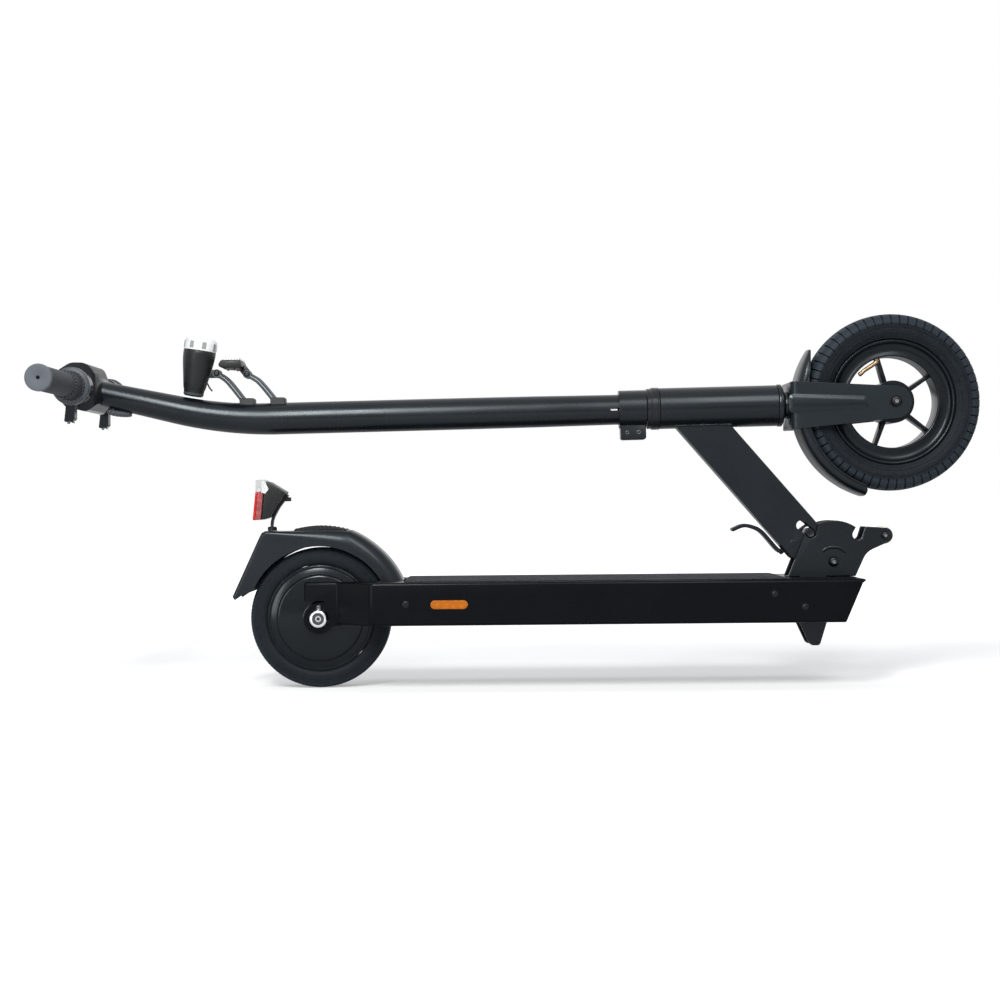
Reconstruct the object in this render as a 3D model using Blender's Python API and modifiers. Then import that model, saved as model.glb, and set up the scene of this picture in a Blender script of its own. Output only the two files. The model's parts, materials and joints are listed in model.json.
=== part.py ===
"""Folding electric kick scooter, folded for carrying.

Metres, +Z up. X runs from the handlebar to the front wheel as the scooter lies folded,
the rider's right side faces -Y, and the ground is at Z = 0.
"""

import bpy
import bmesh
from math import acos, asin, atan2, cos, degrees, hypot, pi, radians, sin, tan
from mathutils import Matrix, Vector

# Clearances
SEAT_GAP = 0.0003
RUN_GAP = 0.0004
CUT_OVERRUN = 0.02

# Wheels, with X counted from the rear axle
REAR_WHEEL_RADIUS = 0.079
REAR_TYRE_WIDTH = 0.045
REAR_DRUM_RADIUS = 0.0597
REAR_DRUM_HALF_WIDTH = 0.0205
REAR_AXLE_RADIUS = 0.006
FRONT_WHEEL_RADIUS = 0.100
FRONT_TYRE_WIDTH = 0.050
TYRE_HEIGHT = 0.0345
RIM_LIP = 0.0045
RIM_DEPTH = 0.0140
RIM_BEAD_RADIUS = FRONT_WHEEL_RADIUS - TYRE_HEIGHT
RIM_FLANGE_RADIUS = RIM_BEAD_RADIUS + RIM_LIP
RIM_OPENING_RADIUS = RIM_BEAD_RADIUS - RIM_DEPTH
RIM_HALF_WIDTH = 0.0200
HUB_RADIUS = 0.0240
HUB_HALF_WIDTH = 0.0288
FRONT_AXLE_RADIUS = 0.005
SPOKE_COUNT = 5
SPOKE_WIDTH = 0.0048
SPOKE_FIRST_ANGLE = 33.0

# Front fender
FENDER_TYRE_GAP = 0.0110
FRONT_FENDER_RADIUS = FRONT_WHEEL_RADIUS + FENDER_TYRE_GAP
FRONT_FENDER_WALL = 0.0015
FRONT_FENDER_START = radians(251.6)
FRONT_FENDER_SWEEP = radians(105.5)

# Deck
DECK_TOP = 0.120
DECK_BOTTOM = 0.0725
DECK_HALF_WIDTH = 0.077
DECK_WALL = 0.003
DECK_TIP_X = 0.604
DECK_NOSE_X = 0.5989
DECK_NOSE_LEAN = 0.4347
DECK_LIP = 0.0043
DECK_EDGE_RADIUS = 0.003
RAIL_END_X = -0.016
RAIL_HALF_WIDTH = 0.040
RAIL_WALL = 0.0033
SHOULDER_REAR_X = 0.0216
SHOULDER_FRONT_X = 0.060
WHEEL_SLOT_END_X = 0.112
POCKET_START_X = 0.1153
COVER_THICKNESS = 0.002
GRIP_START_X = 0.122
GRIP_END_X = 0.519
GRIP_THICKNESS = 0.001
REFLECTOR_LENGTH = 0.041
REFLECTOR_HEIGHT = 0.0096
REFLECTOR_PROUD = 0.002
REFLECTOR_X = 0.1467
REFLECTOR_Z = 0.0957
PORT_X = 0.30
PORT_Z = 0.096
PORT_RADIUS = 0.0075
PORT_FLANGE_RADIUS = 0.0105
PORT_DEPTH = 0.013
BATTERY_GAP = 0.0043
BATTERY_HALF_WIDTH = DECK_HALF_WIDTH + SEAT_GAP - PORT_DEPTH - BATTERY_GAP

# Fold hinge
PIVOT_X = 0.5781
PIVOT_Z = 0.137
PIVOT_BOLT_RADIUS = 0.004
CHEEK_INNER = 0.0125
CHEEK_THICKNESS = 0.0045
CHEEK_RADIUS = 0.0464
FOOT_Z = 0.0426
ROLLER_X = 0.0586
ROLLER_Z = 0.0291
ROLLER_RADIUS = 0.0100
ROLLER_BOLT_RADIUS = 0.003
ARM_ANGLE = radians(130.8)
ARM_HALF_WIDTH = 0.012
ARM_WALL = 0.003
ARM_RIGHT = 0.0155
ARM_LEFT = -0.0324
ARM_FOOT = 0.0335
LOCK_SEAT = (-0.0250, 0.0324)
LOCK_DIRECTION = radians(140.0)
LOCK_TRAVEL = 0.0130
LOCK_PIN_RADIUS = 0.0055
LOCK_NOTCH_RADIUS = 0.0059
LEVER_PIVOT = (-0.0443, 0.0207)
LEVER_RIVET_RADIUS = 0.003
LEVER_THICKNESS = 0.0042

# Steering, measured along the steering axis from the front axle
AXLE_FROM_PIVOT = (0.0680, 0.1792)
STEER_TILT = radians(1.0)
STEERER_RADIUS = 0.0140
STEERER_BORE = 0.0110
HEAD_RADIUS = 0.0232
HEAD_BORE = 0.0177
CUP_RADIUS = 0.0240
UPPER_CUP_HEIGHT = 0.0140
LOWER_CUP_HEIGHT = 0.0060
CROWN_THICKNESS = 0.005
CROWN_BACK = -(FRONT_FENDER_RADIUS + FRONT_FENDER_WALL / 2 + SEAT_GAP + CROWN_THICKNESS)
HEAD_STANDOFF = 0.0110
HEAD_LENGTH = 0.1337
HEAD_LOW = CROWN_BACK - HEAD_STANDOFF
HEAD_HIGH = HEAD_LOW - HEAD_LENGTH
LEG_INNER = 0.0295
LEG_THICKNESS = 0.005
LEG_END_RADIUS = 0.018
CLAMP_STANDOFF = 0.0151
CLAMP_LENGTH = 0.0306
CLAMP_LOW = HEAD_HIGH - CLAMP_STANDOFF
CLAMP_HIGH = CLAMP_LOW - CLAMP_LENGTH
CLAMP_RADIUS = 0.0216
CLAMP_LUG_DROP = 0.0347
STEM_LOW_RADIUS = 0.0170
STEM_RADIUS = 0.0180
STEM_TOP_RADIUS = 0.0136
STEM_WALL = 0.0032
STEM_BEND = -0.7540
STEM_BEND_ANGLE = radians(13.5)
STEM_BEND_SETBACK = 0.055
STEM_UPPER_LENGTH = 0.1561
BAR_RADIUS = 0.0100
BAR_BORE = 0.0076
BAR_HALF_LENGTH = 0.2285
GRIP_INNER_END = 0.123
GRIP_END_CAP = 0.0025
GRIP_OUTER_END = BAR_HALF_LENGTH + GRIP_END_CAP
GRIP_RADIUS = 0.0130
GRIP_FLANGE_RADIUS = 0.0150
GRIP_CAP_RADIUS = 0.0140
CONTROL_RADIUS = 0.0215
CONTROL_INNER_END = 0.066
CONTROL_OUTER_END = 0.1225
THUMB_Y = 0.0824
THUMB_HALF_WIDTH = 0.006
POD_HALF_WIDTH = 0.046
POD_RIGHT = 0.0218
WINDOW_HALF_WIDTH = 0.0297
WINDOW_LOW = 0.0039
WINDOW_HIGH = 0.0233
POD_LEFT = -0.0282
POD_LEFT_N = 0.0136

# Rear fender
FENDER_PIVOT = (0.0991, 0.0960)
FENDER_GAP = 0.0230
FENDER_RADIUS = REAR_WHEEL_RADIUS + FENDER_GAP
FENDER_WALL = 0.0025
FENDER_HALF_WIDTH = 0.030
FENDER_SKIRT_RADIUS = REAR_WHEEL_RADIUS + 0.0015
FENDER_BOLT_RADIUS = 0.003
BRAKE_SHOE_RADIUS = REAR_WHEEL_RADIUS + 0.0070
FENDER_CORNER = (-FENDER_RADIUS, REAR_WHEEL_RADIUS + FENDER_RADIUS)

FOLD_REACH = hypot(*AXLE_FROM_PIVOT)
FOLD_ANGLE = atan2(AXLE_FROM_PIVOT[1], AXLE_FROM_PIVOT[0]) - asin((FRONT_WHEEL_RADIUS - PIVOT_Z) / FOLD_REACH)
AXLE_X = PIVOT_X + AXLE_FROM_PIVOT[0]
AXLE_Z = PIVOT_Z + AXLE_FROM_PIVOT[1]
BAR_S = STEM_BEND - STEM_UPPER_LENGTH * cos(STEM_BEND_ANGLE)
BAR_N = STEM_UPPER_LENGTH * sin(STEM_BEND_ANGLE)


# Scene and materials

for old in list(bpy.data.objects):
    bpy.data.objects.remove(old, do_unlink=True)

PARTS = bpy.data.collections.new("folding_scooter")
CUTTERS = bpy.data.collections.new("cutters")
bpy.context.scene.collection.children.link(PARTS)
bpy.context.scene.collection.children.link(CUTTERS)


def material(name, colour, roughness, metallic=0.0):
    made = bpy.data.materials.new(name)
    made.use_nodes = True
    shader = made.node_tree.nodes["Principled BSDF"]
    shader.inputs["Base Color"].default_value = (*colour, 1.0)
    shader.inputs["Roughness"].default_value = roughness
    shader.inputs["Metallic"].default_value = metallic
    return made


BLACK_PAINT = material("satin_black_paint", (0.035, 0.04, 0.05), 0.35, 0.3)
DECK_PAINT = material("deck_black_paint", (0.02, 0.022, 0.028), 0.28, 0.2)
RUBBER = material("black_rubber", (0.03, 0.032, 0.035), 0.8)
TYRE = material("tyre_rubber", (0.045, 0.05, 0.055), 0.75)
PLASTIC = material("black_plastic", (0.03, 0.032, 0.036), 0.45)
GLOSS = material("gloss_black_plastic", (0.015, 0.016, 0.018), 0.12)
STEEL = material("bright_steel", (0.75, 0.76, 0.78), 0.25, 1.0)
DARK_STEEL = material("dark_steel", (0.12, 0.12, 0.13), 0.4, 1.0)
BRASS = material("brass", (0.72, 0.50, 0.25), 0.3, 1.0)
GREY_TAPE = material("grip_tape", (0.12, 0.13, 0.13), 0.95)
AMBER = material("amber_reflector", (0.80, 0.42, 0.05), 0.2)
RED = material("red_lens", (0.75, 0.03, 0.03), 0.15)
CLEAR = material("clear_lens", (0.85, 0.87, 0.90), 0.08)
PALE = material("pale_nylon", (0.85, 0.86, 0.78), 0.4)
CELL = material("battery_wrap", (0.05, 0.12, 0.30), 0.5)


# Outlines

def arc(centre, radius, start, end, steps):
    """Points on an arc, angles in degrees."""
    found = []
    for k in range(steps + 1):
        turn = radians(start + (end - start) * k / steps)
        found.append((centre[0] + radius * cos(turn), centre[1] + radius * sin(turn)))
    return found


def rounded(corners, steps=4):
    """A closed outline whose corners with a third value are filleted by that radius."""
    points = []
    for i, corner in enumerate(corners):
        if len(corner) == 2:
            points.append(tuple(corner))
            continue
        here = Vector(corner[:2])
        before = (Vector(corners[i - 1][:2]) - here).normalized()
        after = (Vector(corners[(i + 1) % len(corners)][:2]) - here).normalized()
        half = before.angle(after) / 2
        centre = here + (before + after).normalized() * (corner[2] / sin(half))
        start = here + before * (corner[2] / tan(half)) - centre
        end = here + after * (corner[2] / tan(half)) - centre
        first = atan2(start.y, start.x)
        sweep = (atan2(end.y, end.x) - first + pi) % (2 * pi) - pi
        points += arc(centre, corner[2], degrees(first), degrees(first + sweep), steps)
    return points


def smooth_path(points, steps=4):
    """A smooth curve through the points."""
    ends = [2 * Vector(points[0]) - Vector(points[1]), 2 * Vector(points[-1]) - Vector(points[-2])]
    knots = [ends[0]] + [Vector(p) for p in points] + [ends[1]]
    found = []
    for i in range(1, len(knots) - 2):
        a, b, c, d = knots[i - 1:i + 3]
        for k in range(steps):
            t = k / steps
            found.append(0.5 * (2 * b + (c - a) * t + (2 * a - 5 * b + 4 * c - d) * t ** 2
                                + (3 * b - a - 3 * c + d) * t ** 3))
    found.append(knots[-2])
    return found


def band(path, thickness):
    """The outline of a strip of even thickness along a path."""
    left, right = [], []
    for i, point in enumerate(path):
        ahead = (path[min(i + 1, len(path) - 1)] - path[max(i - 1, 0)]).normalized()
        side = Vector((-ahead.y, ahead.x)) * thickness / 2
        left.append(tuple(point + side))
        right.append(tuple(point - side))
    return left + right[::-1]


def moved(points, origin):
    return [(p[0] - origin[0], p[1] - origin[1], *p[2:]) for p in points]


def turned_by(point, angle):
    """A point turned clockwise about the fold pivot, as the neck unfolds."""
    x, z = point
    return (x * cos(angle) + z * sin(angle), -x * sin(angle) + z * cos(angle))


# Solids

def place(name, mesh, finish, parent):
    made = bpy.data.objects.new(name, mesh)
    made.parent = parent
    if finish is None:
        CUTTERS.objects.link(made)
        made.hide_render = True
        made.display_type = "WIRE"
    else:
        mesh.materials.append(finish)
        PARTS.objects.link(made)
    return made


def frame(name, parent, location=(0, 0, 0), rotation=(0, 0, 0)):
    made = bpy.data.objects.new(name, None)
    made.location = location
    made.rotation_euler = rotation
    made.parent = parent
    made.empty_display_size = 0.03
    PARTS.objects.link(made)
    return made


def box(name, low, high, finish, parent, bevel=0.0):
    low, high = Vector(low), Vector(high)
    shape = bmesh.new()
    bmesh.ops.create_cube(shape, size=1.0)
    bmesh.ops.scale(shape, verts=shape.verts, vec=high - low)
    mesh = bpy.data.meshes.new(name)
    shape.to_mesh(mesh)
    shape.free()
    made = place(name, mesh, finish, parent)
    made.location = (low + high) / 2
    if bevel:
        soften(made, bevel)
    return made


def soften(made, width, segments=2, angle=radians(40)):
    bevel = made.modifiers.new("rounded_edges", "BEVEL")
    bevel.width = width
    bevel.segments = segments
    bevel.limit_method = "ANGLE"
    bevel.angle_limit = angle
    return made


def soften_marked(made, width, segments, marked):
    """Rounds the edges of a plate that the test, given both ends of an edge, picks out."""
    mesh = made.data
    weights = mesh.attributes.new("bevel_weight_edge", "FLOAT", "EDGE")
    for edge in mesh.edges:
        first, second = (mesh.vertices[i].co for i in edge.vertices)
        weights.data[edge.index].value = 1.0 if marked(first, second) else 0.0
    bevel = made.modifiers.new("rounded_edges", "BEVEL")
    bevel.width = width
    bevel.segments = segments
    bevel.limit_method = "WEIGHT"
    return made


def on_flat_side(first, second):
    return abs(first.z - second.z) < 1e-5


PLANES = {"XZ": (pi / 2, 0, 0), "XY": (0, 0, 0), "YZ": (pi / 2, 0, pi / 2)}
PLANE_AXIS = {"XZ": (0, 1, 0), "XY": (0, 0, 1), "YZ": (1, 0, 0)}


def plate(name, outline, low, high, finish, parent, plane="XZ", origin=(0, 0, 0), bevel=0.0):
    """A flat outline given thickness from low to high along the plane's normal."""
    curve = bpy.data.curves.new(name, "CURVE")
    curve.dimensions = "2D"
    curve.fill_mode = "BOTH"
    curve.extrude = (high - low) / 2
    spline = curve.splines.new("POLY")
    spline.points.add(len(outline) - 1)
    for point, at in zip(spline.points, outline):
        point.co = (at[0], at[1], 0, 1)
    spline.use_cyclic_u = True
    source = bpy.data.objects.new(name + "_outline", curve)
    CUTTERS.objects.link(source)
    graph = bpy.context.evaluated_depsgraph_get()
    mesh = bpy.data.meshes.new_from_object(source.evaluated_get(graph))
    bpy.data.objects.remove(source, do_unlink=True)
    shape = bmesh.new()
    shape.from_mesh(mesh)
    bmesh.ops.remove_doubles(shape, verts=shape.verts, dist=1e-6)
    bmesh.ops.dissolve_limit(shape, angle_limit=radians(0.5), verts=shape.verts, edges=shape.edges)
    bmesh.ops.recalc_face_normals(shape, faces=shape.faces)
    shape.to_mesh(mesh)
    shape.free()
    mesh.name = name
    made = place(name, mesh, finish, parent)
    made.rotation_euler = PLANES[plane]
    made.location = Vector(origin) + Vector(PLANE_AXIS[plane]) * (low + high) / 2
    if bevel:
        soften(made, bevel)
    return made


TURN_AXES = {"Y": (-pi / 2, 0, 0), "X": (0, pi / 2, 0), "Z": (0, 0, 0)}


def turned(name, profile, finish, parent, axis="Y", origin=(0, 0, 0), steps=24, closed=False, lean=0.0):
    """A profile of (radius, height) points turned about an axis, its outer side listed from the top down."""
    mesh = bpy.data.meshes.new(name)
    count = len(profile)
    edges = [(i, i + 1) for i in range(count - 1)]
    if closed:
        edges.append((count - 1, 0))
    mesh.from_pydata([(r, 0, h) for r, h in profile], edges, [])
    made = place(name, mesh, finish, parent)
    made.location = origin
    made.rotation_euler = TURN_AXES[axis]
    if lean:
        made.rotation_euler = (0, lean, 0)
    screw = made.modifiers.new("turned", "SCREW")
    screw.axis = "Z"
    screw.steps = steps
    screw.render_steps = steps
    screw.use_merge_vertices = True
    screw.merge_threshold = 1e-5
    screw.use_smooth_shade = True
    return made


def rod(name, radius, low, high, finish, parent, axis="Y", origin=(0, 0, 0), steps=24):
    profile = [(0, high), (radius, high), (radius, low), (0, low)]
    return turned(name, profile, finish, parent, axis, origin, steps)


def ring(name, inner, outer, low, high, finish, parent, axis="Y", origin=(0, 0, 0), steps=24):
    profile = [(inner, high), (outer, high), (outer, low), (inner, low)]
    return turned(name, profile, finish, parent, axis, origin, steps, closed=True)


def tube(name, path, radii, finish, parent, sides=2):
    """A tube along a path of 3D points, with a radius for each point, made into a welded mesh."""
    curve = bpy.data.curves.new(name, "CURVE")
    curve.dimensions = "3D"
    curve.bevel_depth = 1.0
    curve.bevel_resolution = sides
    curve.use_fill_caps = True
    spline = curve.splines.new("POLY")
    spline.points.add(len(path) - 1)
    for point, at, radius in zip(spline.points, path, radii):
        point.co = (*at, 1)
        point.radius = radius
    source = bpy.data.objects.new(name + "_path", curve)
    CUTTERS.objects.link(source)
    graph = bpy.context.evaluated_depsgraph_get()
    mesh = bpy.data.meshes.new_from_object(source.evaluated_get(graph))
    bpy.data.objects.remove(source, do_unlink=True)
    shape = bmesh.new()
    shape.from_mesh(mesh)
    bmesh.ops.remove_doubles(shape, verts=shape.verts, dist=1e-6)
    bmesh.ops.recalc_face_normals(shape, faces=shape.faces)
    shape.to_mesh(mesh)
    shape.free()
    mesh.name = name
    return place(name, mesh, finish, parent)


def boolean(target, tool, operation):
    step = target.modifiers.new(operation.lower() + "_" + tool.name, "BOOLEAN")
    step.operation = operation
    step.solver = "EXACT"
    step.object = tool
    return target


def cut(target, *tools):
    for tool in tools:
        boolean(target, tool, "DIFFERENCE")
    return target


def join(target, *tools):
    for tool in tools:
        boolean(target, tool, "UNION")
    return target


# Frames: the whole scooter, and an empty on the axis of each moving body

def steer_point(s, n):
    """Where a point of the steering frame lies, from the rear axle and the ground."""
    return (AXLE_X + s * cos(STEER_TILT) - n * sin(STEER_TILT),
            AXLE_Z + s * sin(STEER_TILT) + n * cos(STEER_TILT))


LEFT_END_X = steer_point(BAR_S + POD_LEFT, BAR_N + POD_LEFT_N)[0]
CENTRE_X = (AXLE_X + FRONT_WHEEL_RADIUS + LEFT_END_X) / 2

SCOOTER = frame("scooter", None, (-CENTRE_X, 0, 0))
REAR_WHEEL = frame("rear_wheel_axis", SCOOTER, (0, 0, REAR_WHEEL_RADIUS))
FENDER = frame("rear_fender_axis", SCOOTER, (FENDER_PIVOT[0], 0, FENDER_PIVOT[1]))
HINGE = frame("hinge_frame", SCOOTER, (PIVOT_X, 0, PIVOT_Z))
ROLLER = frame("roller_axis", HINGE, (ROLLER_X, 0, ROLLER_Z))
NECK = frame("fold_axis", SCOOTER, (PIVOT_X, 0, PIVOT_Z))
LEVER = frame("release_lever_axis", NECK, (LEVER_PIVOT[0], 0, LEVER_PIVOT[1]))
LOCK = frame("lock_pin_slide", NECK, (LOCK_SEAT[0], 0, LOCK_SEAT[1]))
HEAD = frame("head_frame", NECK, (AXLE_FROM_PIVOT[0], 0, AXLE_FROM_PIVOT[1]), (0, -STEER_TILT, 0))
STEER = frame("steering_axis", HEAD)
FRONT_WHEEL = frame("front_wheel_axis", STEER)
BAR = frame("handlebar_frame", STEER, (BAR_S, 0, BAR_N))


# Deck

def nose_x(z, inset=0.0):
    """The slanted front of the deck at a height."""
    return DECK_NOSE_X - inset - (DECK_TOP - DECK_LIP - z) * DECK_NOSE_LEAN


def tab_slot(name, side, low, high, gap):
    middle = side * (CHEEK_INNER + CHEEK_THICKNESS / 2)
    half = CHEEK_THICKNESS / 2 + gap
    return box(name, (PIVOT_X + TAB_LEFT - gap, middle - half, low),
               (PIVOT_X + TAB_RIGHT + gap, middle + half, high), None, SCOOTER)


TAB_LEFT = -0.0385
TAB_RIGHT = -0.0080


def make_deck_frame():
    outline = rounded([
        (RAIL_END_X, -RAIL_HALF_WIDTH), (SHOULDER_REAR_X, -RAIL_HALF_WIDTH, 0.006),
        (SHOULDER_FRONT_X, -DECK_HALF_WIDTH, 0.010), (DECK_TIP_X, -DECK_HALF_WIDTH, 0.007),
        (DECK_TIP_X, DECK_HALF_WIDTH, 0.007), (SHOULDER_FRONT_X, DECK_HALF_WIDTH, 0.010),
        (SHOULDER_REAR_X, RAIL_HALF_WIDTH, 0.006), (RAIL_END_X, RAIL_HALF_WIDTH)])
    deck = plate("deck_frame", outline, DECK_BOTTOM, DECK_TOP, DECK_PAINT, SCOOTER, "XY")
    soften(deck, DECK_EDGE_RADIUS, 3, radians(60))
    low, high = DECK_BOTTOM - CUT_OVERRUN, DECK_TOP + CUT_OVERRUN
    slot_half = RAIL_HALF_WIDTH - RAIL_WALL
    slot = plate("wheel_slot_cutter", rounded([
        (RAIL_END_X - CUT_OVERRUN, -slot_half), (WHEEL_SLOT_END_X, -slot_half, 0.010),
        (WHEEL_SLOT_END_X, slot_half, 0.010), (RAIL_END_X - CUT_OVERRUN, slot_half)]),
        low, high, None, SCOOTER, "XY")
    lip_z = DECK_TOP - DECK_LIP
    nose = plate("nose_cutter", [
        (nose_x(low), low), (DECK_NOSE_X, lip_z), (DECK_TIP_X, DECK_TOP - 0.0012),
        (DECK_TIP_X + CUT_OVERRUN, DECK_TOP - 0.0012), (DECK_TIP_X + CUT_OVERRUN, low)],
        -0.1, 0.1, None, SCOOTER)
    inner = DECK_HALF_WIDTH - DECK_WALL
    roof = DECK_TOP - DECK_WALL
    pocket = plate("deck_pocket_cutter", [
        (POCKET_START_X, low), (POCKET_START_X, roof),
        (nose_x(roof, 0.0045), roof), (nose_x(low, 0.0045), low)], -inner, inner, None, SCOOTER)
    cut(deck, slot, nose, pocket)
    for side in (-1, 1):
        wall = side * (slot_half + DECK_WALL)
        arm = plate(f"arm_pocket_cutter_{side}", [
            (SHOULDER_REAR_X + 0.0046, wall), (SHOULDER_FRONT_X + 0.0013, side * inner),
            (POCKET_START_X - DECK_WALL - 0.0033, side * inner), (POCKET_START_X - DECK_WALL - 0.0033, wall)],
            low, roof, None, SCOOTER, "XY")
        cut(deck, arm, tab_slot(f"deck_tab_slot_{side}", side, roof - 0.01, high, SEAT_GAP))
    rail_notch = plate("rail_notch_cutter", rounded([
        (RAIL_END_X - CUT_OVERRUN, 0.0989), (0.0072, 0.0989, 0.004), (0.0138, 0.0864),
        (nose_like(low), low), (RAIL_END_X - CUT_OVERRUN, low)]), -0.06, 0.06, None, SCOOTER)
    bolt_hole = rod("fender_bolt_hole", FENDER_BOLT_RADIUS + SEAT_GAP, -0.09, 0.09, None, SCOOTER,
                    origin=(FENDER_PIVOT[0], 0, FENDER_PIVOT[1]), steps=16)
    port_hole = rod("port_hole", PORT_RADIUS + SEAT_GAP, inner - 0.01, inner + 0.02, None, SCOOTER,
                    origin=(PORT_X, 0, PORT_Z), steps=20)
    cut(deck, rail_notch, bolt_hole, port_hole)
    return deck


def nose_like(z):
    """The sloping front edge of the opening round the axle nut, at a height."""
    return 0.0138 + (0.0864 - z) * 0.396


def make_deck_fittings():
    inner = DECK_HALF_WIDTH - DECK_WALL - SEAT_GAP
    cover_top = DECK_BOTTOM + COVER_THICKNESS
    cover = plate("deck_bottom_cover", rounded([
        (POCKET_START_X + SEAT_GAP, -inner, 0.004), (nose_x(DECK_BOTTOM, 0.0052), -inner, 0.004),
        (nose_x(DECK_BOTTOM, 0.0052), inner, 0.004), (POCKET_START_X + SEAT_GAP, inner, 0.004)]),
        DECK_BOTTOM + SEAT_GAP, cover_top, DECK_PAINT, SCOOTER, "XY")
    base = plate("hinge_base", rounded([
        (0.494, 0.0755), (0.494, 0.110, 0.006), (0.506, DECK_TOP - DECK_WALL - SEAT_GAP, 0.006),
        (0.5700, DECK_TOP - DECK_WALL - SEAT_GAP), (0.5700, 0.0755)]),
        -inner, inner, DARK_STEEL, SCOOTER)
    for side in (-1, 1):
        cut(cover, tab_slot(f"cover_tab_slot_{side}", side, DECK_BOTTOM - 0.01, cover_top + 0.01, SEAT_GAP))
        cut(base, tab_slot(f"base_tab_slot_{side}", side, DECK_BOTTOM - 0.01, DECK_TOP + 0.01, SEAT_GAP))
        near, far = sorted((side * 0.026, side * (inner - 0.0077)))
        pocket = box(f"base_pocket_{side}", (0.503, near, 0.06), (0.561, far, DECK_TOP - 0.0095),
                     None, SCOOTER, 0.003)
        cut(base, pocket)
    box("grip_tape", (GRIP_START_X, -DECK_HALF_WIDTH + 0.006, DECK_TOP + SEAT_GAP),
        (GRIP_END_X, DECK_HALF_WIDTH - 0.006, DECK_TOP + SEAT_GAP + GRIP_THICKNESS), GREY_TAPE, SCOOTER)
    box("battery_pack", (0.150, -BATTERY_HALF_WIDTH, cover_top + SEAT_GAP),
        (0.430, BATTERY_HALF_WIDTH, DECK_TOP - 0.004), CELL, SCOOTER, 0.004)
    controller = box("motor_controller", (0.442, -0.040, cover_top + SEAT_GAP), (0.486, 0.040, 0.104),
                     DARK_STEEL, SCOOTER, 0.002)
    for k in range(5):
        y = -0.030 + 0.015 * k
        fin_gap = box(f"fin_cutter_{k}", (0.430, y - 0.002, 0.097), (0.50, y + 0.002, 0.12), None, SCOOTER)
        cut(controller, fin_gap)
    half = REFLECTOR_HEIGHT / 2
    reach = REFLECTOR_LENGTH / 2 - half
    oblong = arc((reach, 0), half, -90, 90, 6) + arc((-reach, 0), half, 90, 270, 6)
    for name, side in (("side_reflector_right", -1), ("side_reflector_left", 1)):
        near, far = sorted((side * (DECK_HALF_WIDTH + SEAT_GAP), side * (DECK_HALF_WIDTH + REFLECTOR_PROUD)))
        plate(name, oblong, near, far, AMBER, SCOOTER, origin=(REFLECTOR_X, 0, REFLECTOR_Z))
    face = DECK_HALF_WIDTH + SEAT_GAP
    turned("charge_port", [
        (0, face + 0.0025), (PORT_FLANGE_RADIUS - 0.001, face + 0.0025), (PORT_FLANGE_RADIUS, face + 0.0015),
        (PORT_FLANGE_RADIUS, face), (PORT_RADIUS, face), (PORT_RADIUS, face - PORT_DEPTH),
        (0, face - PORT_DEPTH)],
        RUBBER, SCOOTER, origin=(PORT_X, 0, PORT_Z), steps=20)


# Fold hinge

def cheek_outline():
    base = DECK_TOP + SEAT_GAP - PIVOT_Z
    second = turned_by(LOCK_SEAT, FOLD_ANGLE)
    corner = (-0.0511, base)
    outline = [corner, (-0.0319, 0.0307)]
    outline += arc(LOCK_SEAT, LOCK_NOTCH_RADIUS, 228, 345, 6)
    outline += arc((0, 0), CHEEK_RADIUS, 110.6, 56.1, 8)
    outline += arc(second, LOCK_NOTCH_RADIUS, 155, 335, 8)
    outline += [(0.0368, 0.0390)]
    outline += arc((ROLLER_X, ROLLER_Z), 0.0086, 95, -60, 9)
    lower = [(0.0629, 0.0217), (0.0375, 0.0105, 0.020), (0.0250, base)]
    return outline + rounded(lower)[1:]


def tab_outline():
    """The tab of a cheek plate, through the deck and down to the foot it stands on."""
    root = DECK_TOP - PIVOT_Z + 0.006
    foot = FOOT_Z - PIVOT_Z
    return rounded([(TAB_RIGHT, root), (TAB_LEFT, root), (TAB_LEFT, foot + 0.0254), (-0.0268, foot, 0.006),
                    (-0.0160, foot, 0.004), (TAB_RIGHT, foot + 0.0254)])


def make_cheeks():
    outline = cheek_outline()
    pivot_hole = rod("pivot_hole", PIVOT_BOLT_RADIUS + SEAT_GAP, -0.05, 0.05, None, HINGE)
    roller_hole = rod("roller_hole", ROLLER_BOLT_RADIUS + SEAT_GAP, -0.05, 0.05, None, ROLLER, steps=16)
    outer = CHEEK_INNER + CHEEK_THICKNESS
    for name, side in (("cheek_plate_right", -1), ("cheek_plate_left", 1)):
        low, high = sorted((side * CHEEK_INNER, side * outer))
        cheek = plate(name, outline, low, high, BLACK_PAINT, HINGE)
        soften_marked(cheek, 0.0007, 1, on_flat_side)
        tab = plate(f"cheek_tab_{side}", tab_outline(), low, high, None, HINGE)
        soften_marked(tab, 0.0007, 1, on_flat_side)
        join(cheek, tab)
        cut(cheek, pivot_hole, roller_hole)
    face = outer + SEAT_GAP
    turned("fold_pivot_bolt", [
        (0, face + 0.0048), (0.0062, face + 0.0048), (0.0066, face), (PIVOT_BOLT_RADIUS, face),
        (PIVOT_BOLT_RADIUS, -face), (0.0058, -face), (0.0058, -face - 0.0022), (0.0036, -face - 0.0045),
        (0, -face - 0.0045)], DARK_STEEL, HINGE)
    turned("roller_bolt", [
        (0, face + 0.0030), (0.0046, face + 0.0030), (0.0048, face), (ROLLER_BOLT_RADIUS, face),
        (ROLLER_BOLT_RADIUS, -face), (0.0048, -face), (0.0048, -face - 0.0015), (0.0030, -face - 0.0028),
        (0, -face - 0.0028)], DARK_STEEL, ROLLER, steps=16)
    half = CHEEK_INNER - 0.0005
    bore = ROLLER_BOLT_RADIUS + RUN_GAP
    turned("stop_roller", [
        (bore, half), (ROLLER_RADIUS - 0.0012, half), (ROLLER_RADIUS, half - 0.0012),
        (ROLLER_RADIUS, -half + 0.0012), (ROLLER_RADIUS - 0.0012, -half), (bore, -half)],
        PALE, ROLLER, closed=True)


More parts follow.
